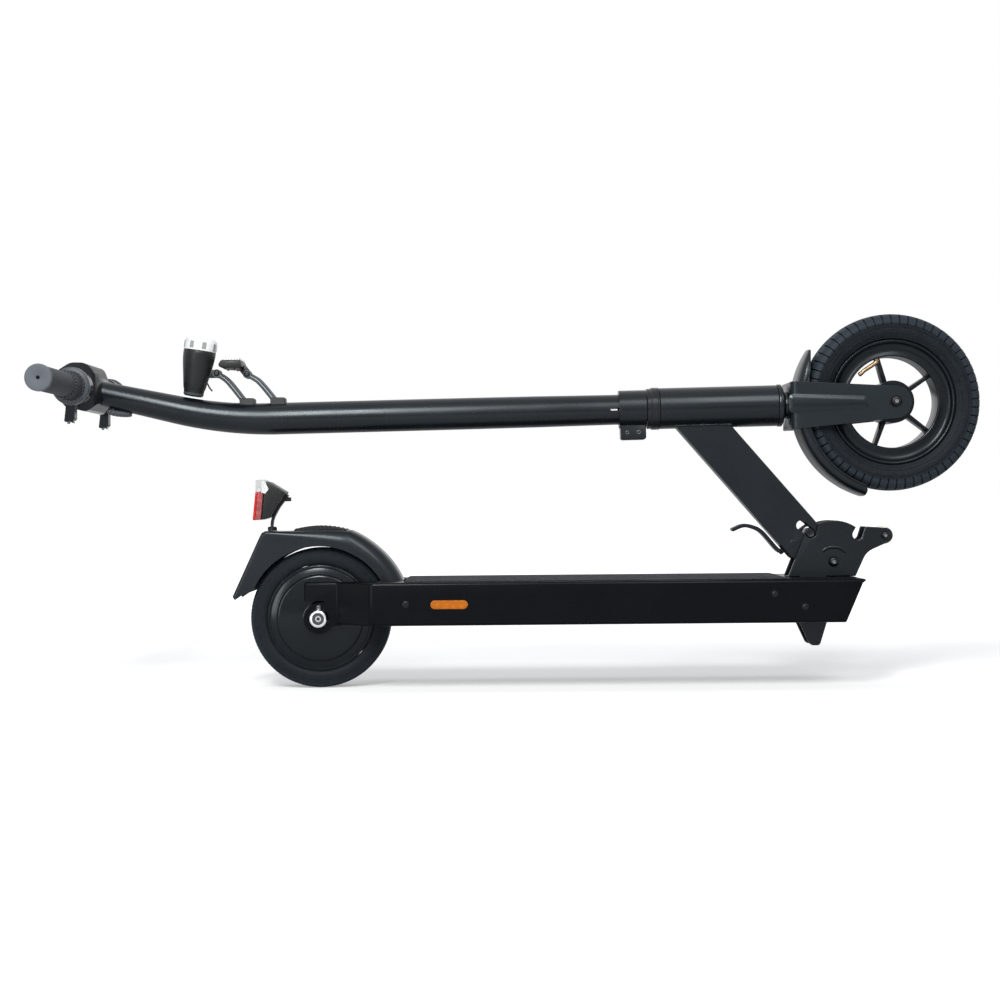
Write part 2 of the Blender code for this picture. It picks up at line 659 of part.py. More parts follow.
# Neck

def arm(along, across):
    """A point of the neck arm: along it from the fold pivot, and across it towards the front."""
    ahead, side = cos(ARM_ANGLE), sin(ARM_ANGLE)
    return (along * ahead + across * side, along * side - across * ahead)


def arm_at_head(across, n):
    """How far along the arm a line at one distance across it meets a height of the steering frame."""
    rise = -cos(ARM_ANGLE) * sin(STEER_TILT) + sin(ARM_ANGLE) * cos(STEER_TILT)
    shift = -sin(ARM_ANGLE) * sin(STEER_TILT) - cos(ARM_ANGLE) * cos(STEER_TILT)
    start = AXLE_FROM_PIVOT[0] * sin(STEER_TILT) - AXLE_FROM_PIVOT[1] * cos(STEER_TILT)
    return (n - start - across * shift) / rise


def slot_outline(half, reach):
    """The slot of the lock pin, from its seat to the far end of its travel."""
    end = (LOCK_SEAT[0] + reach * cos(LOCK_DIRECTION), LOCK_SEAT[1] + reach * sin(LOCK_DIRECTION))
    turn = degrees(LOCK_DIRECTION)
    return arc(LOCK_SEAT, half, turn + 90, turn + 270, 8) + arc(end, half, turn - 90, turn + 90, 8)


def make_neck():
    top = -0.008
    flat = arc((0, 0), ARM_RIGHT, 90, 245, 9)
    corners = [arm(arm_at_head(ARM_LEFT, top), ARM_LEFT)]
    corners += [(*arm(ARM_FOOT, ARM_LEFT), 0.004)]
    corners += [arm(a, b) for a, b in flat[::-1]]
    corners += [arm(arm_at_head(ARM_RIGHT, top), ARM_RIGHT)]
    neck = plate("neck_arm", rounded(corners), -ARM_HALF_WIDTH, ARM_HALF_WIDTH, BLACK_PAINT, NECK)
    soften(neck, 0.0014, 2, radians(50))
    hollow_left = ARM_LEFT + ARM_WALL
    hollow_right = ARM_RIGHT - ARM_WALL
    hollow = plate("arm_hollow_cutter", [
        arm(0.052, ARM_LEFT - 0.02), arm(0.052, hollow_left), arm(0.300, hollow_left),
        arm(0.300, hollow_right), arm(0.021, hollow_right), arm(0.0175, 0.000),
        arm(0.0140, -0.0140), arm(0.0100, ARM_LEFT - 0.02)],
        -ARM_HALF_WIDTH + ARM_WALL, ARM_HALF_WIDTH - ARM_WALL, None, NECK)
    head_seat = rod("head_seat_cutter", HEAD_RADIUS + SEAT_GAP, HEAD_HIGH - 0.05, HEAD_LOW + 0.05,
                    None, HEAD, "X", steps=24)
    pin_slot = plate("pin_slot_cutter", slot_outline(LOCK_PIN_RADIUS + SEAT_GAP, LOCK_TRAVEL),
                     -0.03, 0.03, None, NECK)
    bore = rod("arm_pivot_bore", PIVOT_BOLT_RADIUS + RUN_GAP, -0.03, 0.03, None, NECK)
    cut(neck, hollow, head_seat, pin_slot, bore)
    rivet = rod("lever_rivet", LEVER_RIVET_RADIUS, -ARM_HALF_WIDTH - 0.0008, ARM_HALF_WIDTH + 0.0008,
                None, LEVER, steps=16)
    join(neck, rivet)
    ring("head_tube", HEAD_BORE, HEAD_RADIUS, HEAD_HIGH, HEAD_LOW, BLACK_PAINT, HEAD, "X", steps=24)
    running = STEERER_RADIUS + RUN_GAP
    insert = HEAD_BORE - SEAT_GAP
    top_face = HEAD_HIGH - SEAT_GAP
    turned("headset_cup_upper", [
        (running, top_face + 0.012), (insert, top_face + 0.012), (insert, top_face), (CUP_RADIUS, top_face),
        (CUP_RADIUS, top_face - 0.0085), (CUP_RADIUS - 0.0012, top_face - 0.0095),
        (CUP_RADIUS - 0.0012, top_face - UPPER_CUP_HEIGHT), (running, top_face - UPPER_CUP_HEIGHT)],
        GLOSS, HEAD, "X", steps=24, closed=True)
    low_face = HEAD_LOW + SEAT_GAP
    turned("headset_cup_lower", [
        (running, low_face + LOWER_CUP_HEIGHT), (CUP_RADIUS - 0.001, low_face + LOWER_CUP_HEIGHT),
        (CUP_RADIUS, low_face + LOWER_CUP_HEIGHT - 0.001), (CUP_RADIUS, low_face), (insert, low_face),
        (insert, low_face - 0.012), (running, low_face - 0.012)], GLOSS, HEAD, "X", steps=24, closed=True)


def make_lock():
    rivet_to_pin = (LOCK_SEAT[0] - LEVER_PIVOT[0], LOCK_SEAT[1] - LEVER_PIVOT[1])
    eye = (rivet_to_pin[0] - 0.0007, rivet_to_pin[1] + 0.0001)
    root = (-0.0142, -0.0107)
    lean = degrees(atan2(root[1], root[0]))
    side = radians(lean - 90)
    outline = arc(eye, 0.0098, -60, 125, 10) + arc((0, 0), 0.0078, 125, lean % 360 - 21, 5)
    outline += [(root[0] + 0.0028 * cos(side), root[1] + 0.0028 * sin(side)),
                (root[0] - 0.0028 * cos(side), root[1] - 0.0028 * sin(side))]
    outline += arc((0, 0), 0.0078, lean % 360 + 21, 300, 4)
    lever = plate("release_lever", outline, -0.004, 0.004, BLACK_PAINT, LEVER)
    path = smooth_path([(-0.0128, -0.0100), (-0.0190, -0.0050), (-0.0344, 0.0128), (-0.0446, 0.0186),
                        (-0.0560, 0.0203), (-0.0685, 0.0154)], 4)
    blade = plate("lever_blade", band(path, LEVER_THICKNESS), -0.0085, 0.0085, None, LEVER)
    soften(blade, 0.0008, 1)
    join(lever, blade)
    cut(lever, rod("lever_pin_hole", 0.0070, -0.02, 0.02, None, LEVER, origin=(eye[0], 0, eye[1])),
        rod("lever_rivet_hole", LEVER_RIVET_RADIUS + RUN_GAP, -0.02, 0.02, None, LEVER, steps=16))
    half = CHEEK_INNER - RUN_GAP
    turned("lock_pin", [
        (0, half), (LOCK_PIN_RADIUS - 0.0008, half), (LOCK_PIN_RADIUS, half - 0.0008),
        (LOCK_PIN_RADIUS, -half + 0.0008), (LOCK_PIN_RADIUS - 0.0008, -half), (0, -half)], DARK_STEEL, LOCK)


# Steering

def make_fork():
    outer = LEG_INNER + LEG_THICKNESS
    back = CROWN_BACK
    front = LEG_END_RADIUS + 0.002
    fork = plate("fork", rounded([
        (front, -outer), (back, -outer, 0.008), (back, outer, 0.008), (front, outer),
        (front, LEG_INNER), (back + CROWN_THICKNESS, LEG_INNER, 0.0032),
        (back + CROWN_THICKNESS, -LEG_INNER, 0.0032), (front, -LEG_INNER)]),
        -0.0300, 0.0275, BLACK_PAINT, STEER, "XY")
    drop = -0.001
    side = plate("fork_side_outline", rounded([
        (back - 0.001, -0.0282, 0.003), (back - 0.001, 0.0252, 0.003), (back + 0.0130, 0.0246)]
        + arc((0, drop), LEG_END_RADIUS, 86, -81, 12) + [(back + 0.0130, -0.0276)]), -0.05, 0.05, None, STEER)
    boolean(fork, side, "INTERSECT")
    soften(fork, 0.0009, 1, radians(50))
    rib_outline = rounded([(back + 0.0154, 0.0104, 0.005), (-0.0312, 0.0055, 0.005),
                           (-0.0312, -0.0072, 0.005), (back + 0.0154, -0.0098, 0.005)])
    for sign in (-1, 1):
        low, high = sorted((sign * (outer - 0.002), sign * (outer + 0.0013)))
        rib = plate(f"fork_rib_{sign}", rib_outline, low, high, None, STEER)
        soften(rib, 0.001, 1)
        join(fork, rib)
    collar = back - 0.0042
    steerer = turned("steerer", [
        (0, back + 0.004), (0.0153, back + 0.004), (0.0153, collar), (STEERER_RADIUS, collar - 0.0002),
        (STEERER_RADIUS, CLAMP_HIGH + 0.002), (STEERER_BORE, CLAMP_HIGH + 0.002),
        (STEERER_BORE, back - 0.008), (0, back - 0.008)], None, STEER, "X")
    cut(fork, rod("fork_axle_hole", FRONT_AXLE_RADIUS + SEAT_GAP, -0.05, 0.05, None, STEER, steps=16))
    join(fork, steerer)
    head = outer + SEAT_GAP
    turned("front_axle", [
        (0, head + 0.0050), (0.0068, head + 0.0050), (0.0070, head), (FRONT_AXLE_RADIUS, head),
        (FRONT_AXLE_RADIUS, -head), (0.0067, -head), (0.0067, -head - 0.0022), (0.0045, -head - 0.0048),
        (0, -head - 0.0048)], STEEL, STEER, steps=20)


def make_front_fender():
    r = FRONT_FENDER_RADIUS
    half = [(r, 0.0), (r - 0.0004, 0.0165), (r - 0.0026, 0.0245), (r - 0.0075, 0.0280), (r - 0.0125, 0.0283)]
    profile = [(a, -b) for a, b in half[:0:-1]] + half
    mesh = bpy.data.meshes.new("front_fender")
    mesh.from_pydata([(a, 0, b) for a, b in profile], [(i, i + 1) for i in range(len(profile) - 1)], [])
    fender = place("front_fender", mesh, BLACK_PAINT, STEER)
    turn = Matrix.Rotation(-FRONT_FENDER_START, 4, "Y") @ Matrix.Rotation(-pi / 2, 4, "X")
    fender.rotation_euler = turn.to_euler()
    screw = fender.modifiers.new("turned", "SCREW")
    screw.angle = FRONT_FENDER_SWEEP
    screw.steps = 20
    screw.render_steps = 20
    screw.use_merge_vertices = False
    screw.use_smooth_shade = True
    wall = fender.modifiers.new("wall", "SOLIDIFY")
    wall.thickness = FRONT_FENDER_WALL
    wall.offset = 0.0
    return fender


def stem_path():
    """The stem's centre line from its clamp to the handlebar, with its radius at each point."""
    setback = STEM_BEND_SETBACK
    low = CLAMP_LOW - 0.0008
    points = [(low, 0), (CLAMP_HIGH - 0.0100, 0), (-0.40, 0), (-0.55, 0)]
    radii = [STEM_LOW_RADIUS, STEM_LOW_RADIUS, STEM_RADIUS - 0.0003, STEM_RADIUS]
    bend_radius = setback / tan(STEM_BEND_ANGLE / 2)
    start = STEM_BEND + setback
    for k in range(6):
        turn = STEM_BEND_ANGLE * k / 5
        points.append((start - bend_radius * sin(turn), bend_radius * (1 - cos(turn))))
        radii.append(STEM_RADIUS - (STEM_RADIUS - STEM_TOP_RADIUS) * 0.45 * k / 5)
    points.append((BAR_S, BAR_N))
    radii.append(STEM_TOP_RADIUS)
    return [(s, 0, n) for s, n in points], radii


def make_stem():
    path, radii = stem_path()
    stem = tube("stem_tube", path, radii, BLACK_PAINT, STEER, 8)
    bar_seat = rod("stem_bar_seat", BAR_RADIUS + SEAT_GAP, -0.05, 0.05, None, BAR)
    bore = rod("stem_bore", STEERER_RADIUS + SEAT_GAP, CLAMP_HIGH - 0.016, CLAMP_LOW + 0.02, None, STEER, "X")
    cut(stem, bar_seat, bore)
    hollow_path = [(CLAMP_HIGH - 0.0140, 0, 0)] + path[2:-1] + [(BAR_S + 0.0250, 0, BAR_N - 0.0060)]
    hollow_radii = [r - STEM_WALL for r in radii[1:]]
    cut(stem, tube("stem_hollow", hollow_path, hollow_radii, None, STEER, 4))
    slit_end = CLAMP_HIGH - 0.0087
    slit = plate("stem_slit", arc((slit_end, 0), 0.0015, 90, 270, 6) + [(-0.25, -0.0015), (-0.25, 0.0015)],
                 -0.05, 0.05, None, STEER)
    cut(stem, slit)
    clamp = ring("stem_clamp", STEM_LOW_RADIUS + SEAT_GAP, CLAMP_RADIUS, CLAMP_HIGH, CLAMP_LOW,
                 BLACK_PAINT, STEER, "X", steps=24)
    lug = plate("clamp_lug", rounded([
        (CLAMP_HIGH + 0.0012, -0.0178), (CLAMP_HIGH + 0.0012, -CLAMP_LUG_DROP, 0.003),
        (CLAMP_LOW - 0.0008, -CLAMP_LUG_DROP, 0.003), (CLAMP_LOW - 0.0008, -0.0178)]),
        -0.0110, 0.0110, None, STEER)
    soften(lug, 0.001, 1)
    join(clamp, lug)
    cut(clamp, box("clamp_split", (CLAMP_HIGH - 0.01, -0.0011, -0.05), (CLAMP_LOW + 0.01, 0.0011, -0.005),
                   None, STEER))


def enlarged_stem(name, gap):
    path, radii = stem_path()
    return tube(name, path, [r + gap for r in radii], None, STEER, 8)


def make_handlebar():
    ring("handlebar_tube", BAR_BORE, BAR_RADIUS, -BAR_HALF_LENGTH, BAR_HALF_LENGTH, BLACK_PAINT, BAR)
    bore = BAR_RADIUS + SEAT_GAP
    end = GRIP_OUTER_END
    start = GRIP_INNER_END
    grip = [(0, end), (GRIP_CAP_RADIUS - 0.0012, end), (GRIP_CAP_RADIUS, end - 0.0012),
            (GRIP_CAP_RADIUS, end - 0.0045), (GRIP_RADIUS - 0.0007, end - 0.0060)]
    grip += [(GRIP_RADIUS, end - 0.0080), (GRIP_RADIUS, start + 0.0060),
             (GRIP_RADIUS - 0.0007, start + 0.0040), (GRIP_FLANGE_RADIUS, start + 0.0030),
             (GRIP_FLANGE_RADIUS, start), (bore, start),
             (bore, BAR_HALF_LENGTH + SEAT_GAP), (0, BAR_HALF_LENGTH + SEAT_GAP)]
    control = [(bore, CONTROL_OUTER_END), (0.0170, CONTROL_OUTER_END),
               (CONTROL_RADIUS - 0.0008, CONTROL_OUTER_END - 0.0030),
               (CONTROL_RADIUS, CONTROL_OUTER_END - 0.0060), (CONTROL_RADIUS, CONTROL_INNER_END + 0.003),
               (CONTROL_RADIUS - 0.003, CONTROL_INNER_END), (bore, CONTROL_INNER_END)]
    cavity_half = THUMB_HALF_WIDTH + 0.0007
    for side_name, side in (("right", -1), ("left", 1)):
        turn = (-pi / 2, 0, 0) if side > 0 else (pi / 2, 0, 0)
        piece = turned("grip_" + side_name, grip, RUBBER, BAR, steps=16)
        piece.rotation_euler = turn
        housing = turned("control_housing_" + side_name, control, PLASTIC, BAR, steps=20, closed=True)
        housing.rotation_euler = turn
        low, high = sorted((side * (THUMB_Y - cavity_half), side * (THUMB_Y + cavity_half)))
        cavity = rod(f"control_cavity_{side_name}", 0.0160, low, high, None, BAR)
        window = plate(f"control_window_{side_name}", [(0, 0)] + arc((0, 0), 0.035, 234, 322, 8),
                       low, high, None, BAR)
        cut(housing, cavity, window)


def make_thumb_lever(name, side):
    axis = frame(name + "_axis", BAR)
    low, high = sorted((side * (THUMB_Y - THUMB_HALF_WIDTH), side * (THUMB_Y + THUMB_HALF_WIDTH)))
    outline = rounded([
        (-0.0074, -0.0130), (-0.0080, -0.0250), (-0.0098, -0.0380, 0.0014), (-0.0062, -0.0386, 0.0014),
        (-0.0046, -0.0300, 0.0030), (-0.0012, -0.0386, 0.0014), (0.0018, -0.0350, 0.0020),
        (0.0020, -0.0240), (0.0040, -0.0130)])
    lever = plate(name, outline, low, high, PLASTIC, axis)
    hub = rod(name + "_hub", 0.0150, low, high, None, axis)
    join(lever, hub)
    cut(lever, rod(name + "_bore", BAR_RADIUS + RUN_GAP, -0.12, 0.12, None, axis))
    return lever


def make_cockpit():
    pod_outline = rounded([
        (POD_LEFT, -0.0024, 0.008), (POD_LEFT, 0.0296, 0.014), (-0.0002, 0.0371, 0.016),
        (POD_RIGHT, 0.0156, 0.014), (POD_RIGHT, -0.0144, 0.008), (0.0048, -0.0254, 0.008),
        (-0.0182, -0.0194, 0.010)])
    pod = plate("display_housing", pod_outline, -POD_HALF_WIDTH, POD_HALF_WIDTH, GLOSS, BAR)
    soften(pod, 0.0050, 3, radians(60))
    half_window = WINDOW_HALF_WIDTH + SEAT_GAP
    low, high = WINDOW_LOW - SEAT_GAP, WINDOW_HIGH + SEAT_GAP
    recess = box("display_recess", (POD_LEFT - 0.01, -half_window, low),
                 (POD_LEFT + 0.0014, half_window, high), None, BAR)
    cut(pod, rod("pod_bar_bore", BAR_RADIUS + SEAT_GAP, -0.08, 0.08, None, BAR),
        enlarged_stem("pod_stem_cutter", SEAT_GAP), recess)
    box("display_window", (POD_LEFT, -WINDOW_HALF_WIDTH, WINDOW_LOW),
        (POD_LEFT + 0.0011, WINDOW_HALF_WIDTH, WINDOW_HIGH), GLOSS, BAR)
    left = POD_RIGHT + 0.0004 + SEAT_GAP
    boot = plate("cable_boot", rounded([
        (left, -0.0104), (0.0498, -0.0182), (0.0413, -0.0309, 0.003), (left, -0.0303, 0.001)]),
        -0.0080, 0.0080, RUBBER, BAR)
    soften(boot, 0.0012, 1)
    cut(boot, enlarged_stem("boot_stem_cutter", SEAT_GAP))


LIGHT_PIVOT = (STEM_BEND - 0.0077, 0.0527)
LIGHT_BASE = (STEM_BEND - 0.0360, 0.0277)
LIGHT_LEAN = atan2(0.0113, 0.0646)
REFLECTOR_PIVOT = (STEM_BEND + 0.0266, 0.0510)
LUG_RADIUS = 0.0046


def make_bracket(name, pivot, foot, half_width, waist):
    """A bent strip from a foot on the stem to a forked eye on the tilt axis."""
    path = smooth_path([pivot, waist, (foot - 0.0072, 0.0252), (foot - 0.0040, 0.0205)], 3)
    strip = plate(name, band(path, 0.0030), -half_width, half_width, BLACK_PAINT, STEER)
    eye = rod(name + "_eye", 0.0048, -half_width, half_width, None, STEER,
              origin=(pivot[0], 0, pivot[1]), steps=16)
    block = plate(name + "_foot", rounded([
        (foot - 0.0085, 0.0120), (foot - 0.0085, 0.0240, 0.002), (foot + 0.0085, 0.0236, 0.002),
        (foot + 0.0085, 0.0120)]), -0.0085, 0.0085, None, STEER)
    soften(block, 0.001, 1)
    join(strip, eye, block)
    fork = plate(name + "_fork", arc(pivot, 0.0095, 0, 324, 9), -0.0036, 0.0036, None, STEER)
    pin = rod(name + "_pin", 0.0018, -half_width - 0.001, half_width + 0.001, None, STEER,
              origin=(pivot[0], 0, pivot[1]), steps=12)
    cut(strip, fork, enlarged_stem(name + "_seat", SEAT_GAP))
    join(strip, pin)
    return strip


def make_lug(name, pivot, other, axis):
    """A flat lug round the tilt pin that reaches to another point."""
    reach = (other[0] - pivot[0], other[1] - pivot[1])
    lean = degrees(atan2(reach[1], reach[0]))
    outline = arc((0, 0), LUG_RADIUS, lean + 90, lean + 270, 8)
    outline += arc(reach, LUG_RADIUS, lean - 90, lean + 90, 1)
    return plate(name, outline, -0.0032, 0.0032, None, axis)


def make_lights():
    make_bracket("light_bracket", LIGHT_PIVOT, STEM_BEND + 0.0260, 0.0064, (STEM_BEND + 0.0050, 0.0430))
    make_bracket("reflector_bracket", REFLECTOR_PIVOT, STEM_BEND + 0.0608, 0.0064,
                 (STEM_BEND + 0.0400, 0.0420))
    light = frame("headlight_axis", STEER, (LIGHT_PIVOT[0], 0, LIGHT_PIVOT[1]))
    base = (LIGHT_BASE[0] - LIGHT_PIVOT[0], 0, LIGHT_BASE[1] - LIGHT_PIVOT[1])
    body = turned("headlight_body", [
        (0, 0.0500), (0.0166, 0.0500), (0.0166, 0.0520), (0.0182, 0.0520), (0.0182, 0.0475), (0.0172, 0.0465),
        (0.0122, 0.0100), (0.0112, 0.0030), (0.0080, 0.0004), (0, 0)],
        PLASTIC, light, origin=base, steps=28, lean=LIGHT_LEAN)
    join(body, make_lug("headlight_lug", LIGHT_PIVOT, (STEM_BEND - 0.0240, 0.0527), light))
    cut(body, rod("headlight_lug_hole", 0.0018 + RUN_GAP, -0.02, 0.02, None, light, steps=12))
    pigtail = tube("headlight_pigtail", [
        (-0.0200, -0.006, -0.0165), (-0.0120, -0.006, -0.0108), (-0.0085, -0.006, -0.0160),
        (-0.0055, -0.006, -0.0200)], [0.0011] * 4, None, light, 1)
    join(body, pigtail)
    turned("headlight_lens", [
        (0, 0.0656), (0.0150, 0.0648), (0.0166, 0.0630), (0.0178, 0.0560), (0.0178, 0.0523), (0.0163, 0.0523),
        (0.0163, 0.0503), (0, 0.0503)], CLEAR, light, origin=base, steps=28, lean=LIGHT_LEAN)
    tilt = frame("reflector_axis", STEER, (REFLECTOR_PIVOT[0], 0, REFLECTOR_PIVOT[1]))
    origin = (REFLECTOR_PIVOT[0] - STEM_BEND, REFLECTOR_PIVOT[1])
    top_left, top_right = (-0.0022, 0.0697), (0.0265, 0.0690)
    box_outline = [(-0.0050, 0.0625), (-0.0051, 0.0660), top_left, top_right, (0.0283, 0.0590),
                   (0.0240, 0.0566), (0.0200, 0.0572), (-0.0020, 0.0601)]
    housing = plate("reflector_housing", moved(box_outline, origin), -0.0280, 0.0280, PLASTIC, tilt)
    soften_marked(housing, 0.0012, 1, on_flat_side)
    join(housing, make_lug("reflector_lug", REFLECTOR_PIVOT, (REFLECTOR_PIVOT[0] - 0.0030, 0.0600), tilt))
    cut(housing, rod("reflector_lug_hole", 0.0018 + RUN_GAP, -0.04, 0.04, None, tilt, steps=12))
    lens_outline = rounded([
        (top_left[0] + 0.0004, top_left[1] + SEAT_GAP), (-0.0009, 0.0732, 0.0008),
        (0.0258, 0.0724, 0.0008), (top_right[0] - 0.0003, top_right[1] + SEAT_GAP)], 2)
    lens = plate("reflector_lens", moved(lens_outline, origin), -0.0272, 0.0272, CLEAR, tilt)
    soften_marked(lens, 0.0010, 1, on_flat_side)


# Wheels

def make_front_wheel():
    inner = RIM_OPENING_RADIUS
    well = RIM_BEAD_RADIUS - 0.0065
    half = [(inner, 0.0150), (inner + 0.0040, RIM_HALF_WIDTH - 0.0010), (RIM_FLANGE_RADIUS, RIM_HALF_WIDTH),
            (RIM_FLANGE_RADIUS, RIM_HALF_WIDTH - 0.0025), (RIM_BEAD_RADIUS, RIM_HALF_WIDTH - 0.0035),
            (RIM_BEAD_RADIUS - 0.001, 0.0120), (well, 0.0080)]
    profile = half + [(r, -h) for r, h in half[::-1]]
    rim = turned("front_rim", profile, BLACK_PAINT, FRONT_WHEEL, steps=36, closed=True)
    hub = turned("front_hub", [
        (FRONT_AXLE_RADIUS + RUN_GAP, HUB_HALF_WIDTH), (0.0095, HUB_HALF_WIDTH), (0.0105, 0.0225),
        (HUB_RADIUS, 0.0205), (HUB_RADIUS, -0.0205), (0.0105, -0.0225), (0.0095, -HUB_HALF_WIDTH),
        (FRONT_AXLE_RADIUS + RUN_GAP, -HUB_HALF_WIDTH)], None, FRONT_WHEEL, steps=20, closed=True)
    for k in range(SPOKE_COUNT):
        turn = radians(SPOKE_FIRST_ANGLE + 360 / SPOKE_COUNT * k)
        ahead, side = Vector((cos(turn), sin(turn))), Vector((-sin(turn), cos(turn)))
        wide, slim = side * SPOKE_WIDTH * 0.55, side * SPOKE_WIDTH * 0.45
        near, far = ahead * (HUB_RADIUS - 0.003), ahead * (inner + 0.003)
        corners = [tuple(near - wide), tuple(far - slim), tuple(far + slim), tuple(near + wide)]
        spoke = plate(f"spoke_{k}", corners, -0.0080, 0.0080, None, FRONT_WHEEL)
        join(rim, spoke)
    join(rim, hub)
    half_width = FRONT_TYRE_WIDTH / 2
    r = FRONT_WHEEL_RADIUS
    bead = RIM_BEAD_RADIUS + SEAT_GAP
    side = [(bead, RIM_HALF_WIDTH - 0.0042), (RIM_FLANGE_RADIUS + 0.0004, RIM_HALF_WIDTH - 0.0030),
            (RIM_FLANGE_RADIUS + 0.0020, RIM_HALF_WIDTH + 0.0005), (r - 0.0215, half_width - 0.0010),
            (r - 0.0140, half_width), (r - 0.0075, half_width - 0.0012), (r - 0.0030, half_width - 0.0050),
            (r - 0.0008, half_width - 0.0125)]
    turned("front_tyre", side + [(r, 0.0)] + [(a, -h) for a, h in side[::-1]], TYRE, FRONT_WHEEL,
           steps=36, closed=True)
    side_y = -0.0112
    inward = Vector((0.3144, 0, -0.9493))
    root = Vector((0, side_y, 0)) - inward * (RIM_BEAD_RADIUS - 0.0085)
    steps = [inward * 0.0050, inward * 0.0078, inward * 0.0092 + Vector((-0.0022, 0, -0.0010)),
             Vector((-0.0146, 0, -0.0203)), Vector((-0.0175, 0, -0.0219)), Vector((-0.0185, 0, -0.0209))]
    path = [root] + [root + step for step in steps]
    radii = [0.0026, 0.0026, 0.0026, 0.0026, 0.0024, 0.0021, 0.0015]
    cut(rim, tube("valve_hole", [root - inward * SEAT_GAP, root + inward * 0.0090], [0.0026 + SEAT_GAP] * 2,
                  None, FRONT_WHEEL, 2))
    tube("valve_stem", path, radii, BRASS, FRONT_WHEEL, 2)


def make_rear_wheel():
    axle_y = 0.0440
    hub = (0, 0, REAR_WHEEL_RADIUS)
    rod("rear_axle", REAR_AXLE_RADIUS, -axle_y, axle_y, STEEL, SCOOTER, origin=hub)
    bore = REAR_AXLE_RADIUS + RUN_GAP
    drum, half = REAR_DRUM_RADIUS, REAR_DRUM_HALF_WIDTH
    turned("motor_drum", [
        (bore, 0.0300), (0.0145, 0.0300), (0.0165, 0.0262), (0.0480, 0.0250),
        (0.0488, 0.0226), (0.0555, 0.0215), (drum, half), (drum, -half), (0.0555, -half),
        (0.0555, 0.0175), (bore, 0.0195)], DECK_PAINT, REAR_WHEEL, steps=28, closed=True)
    turned("motor_cover", [
        (bore, -0.0175), (0.0551, -0.0175), (0.0551, -half - SEAT_GAP), (drum - 0.0003, -half - SEAT_GAP),
        (0.0555, -0.0220), (0.0488, -0.0228), (0.0480, -0.0252), (0.0165, -0.0264),
        (0.0145, -0.0300), (bore, -0.0300)], DECK_PAINT, REAR_WHEEL, steps=28, closed=True)
    half_width = REAR_TYRE_WIDTH / 2
    r = REAR_WHEEL_RADIUS
    side = [(drum + SEAT_GAP, half_width - 0.0025), (drum + 0.0040, half_width - 0.0004),
            (r - 0.0090, half_width), (r - 0.0035, half_width - 0.0022), (r, half_width - 0.0100)]
    turned("rear_tyre", side + [(a, -h) for a, h in side[::-1]], TYRE, REAR_WHEEL, steps=36, closed=True)
    teeth = 12
    outline = []
    for k in range(teeth):
        middle = 360 / teeth * k
        outline += [(0.030 * cos(radians(middle - 6)), 0.030 * sin(radians(middle - 6)))]
        outline += arc((0, 0), 0.050, middle - 11, middle + 11, 2)
        outline += [(0.030 * cos(radians(middle + 6)), 0.030 * sin(radians(middle + 6)))]
    stator = plate("motor_stator", outline, -0.013, 0.013, DARK_STEEL, SCOOTER, origin=hub)
    cut(stator, rod("stator_bore", REAR_AXLE_RADIUS + SEAT_GAP, -0.03, 0.03, None, SCOOTER, origin=hub))
    bracket_outer = RAIL_HALF_WIDTH - RAIL_WALL - SEAT_GAP
    bracket_outline = rounded([(0.0150, -0.0090), (0.066, -0.0020, 0.004), (0.066, 0.0330, 0.004)]
                              + arc((0, 0), 0.0172, 112, 310, 12))
    hole = rod("bracket_axle_hole", REAR_AXLE_RADIUS + SEAT_GAP, -0.05, 0.05, None, SCOOTER, origin=hub)
    for side_name, sign in (("right", -1), ("left", 1)):
        low, high = sorted((sign * (bracket_outer - 0.004), sign * bracket_outer))
        bracket = plate("axle_bracket_" + side_name, bracket_outline, low, high, BLACK_PAINT, SCOOTER,
                        origin=(0, 0, REAR_WHEEL_RADIUS))
        cut(bracket, hole)
        face = bracket_outer + SEAT_GAP
        nut = turned("axle_nut_" + side_name, [
            (bore, 0.0462), (0.0080, 0.0462), (0.0098, 0.0448), (0.0102, 0.0400), (0.0111, 0.0392),
            (0.0111, face), (bore, face)], STEEL, SCOOTER, origin=hub, steps=24, closed=True)
        if sign < 0:
            nut.rotation_euler = (pi / 2, 0, 0)


# Rear fender

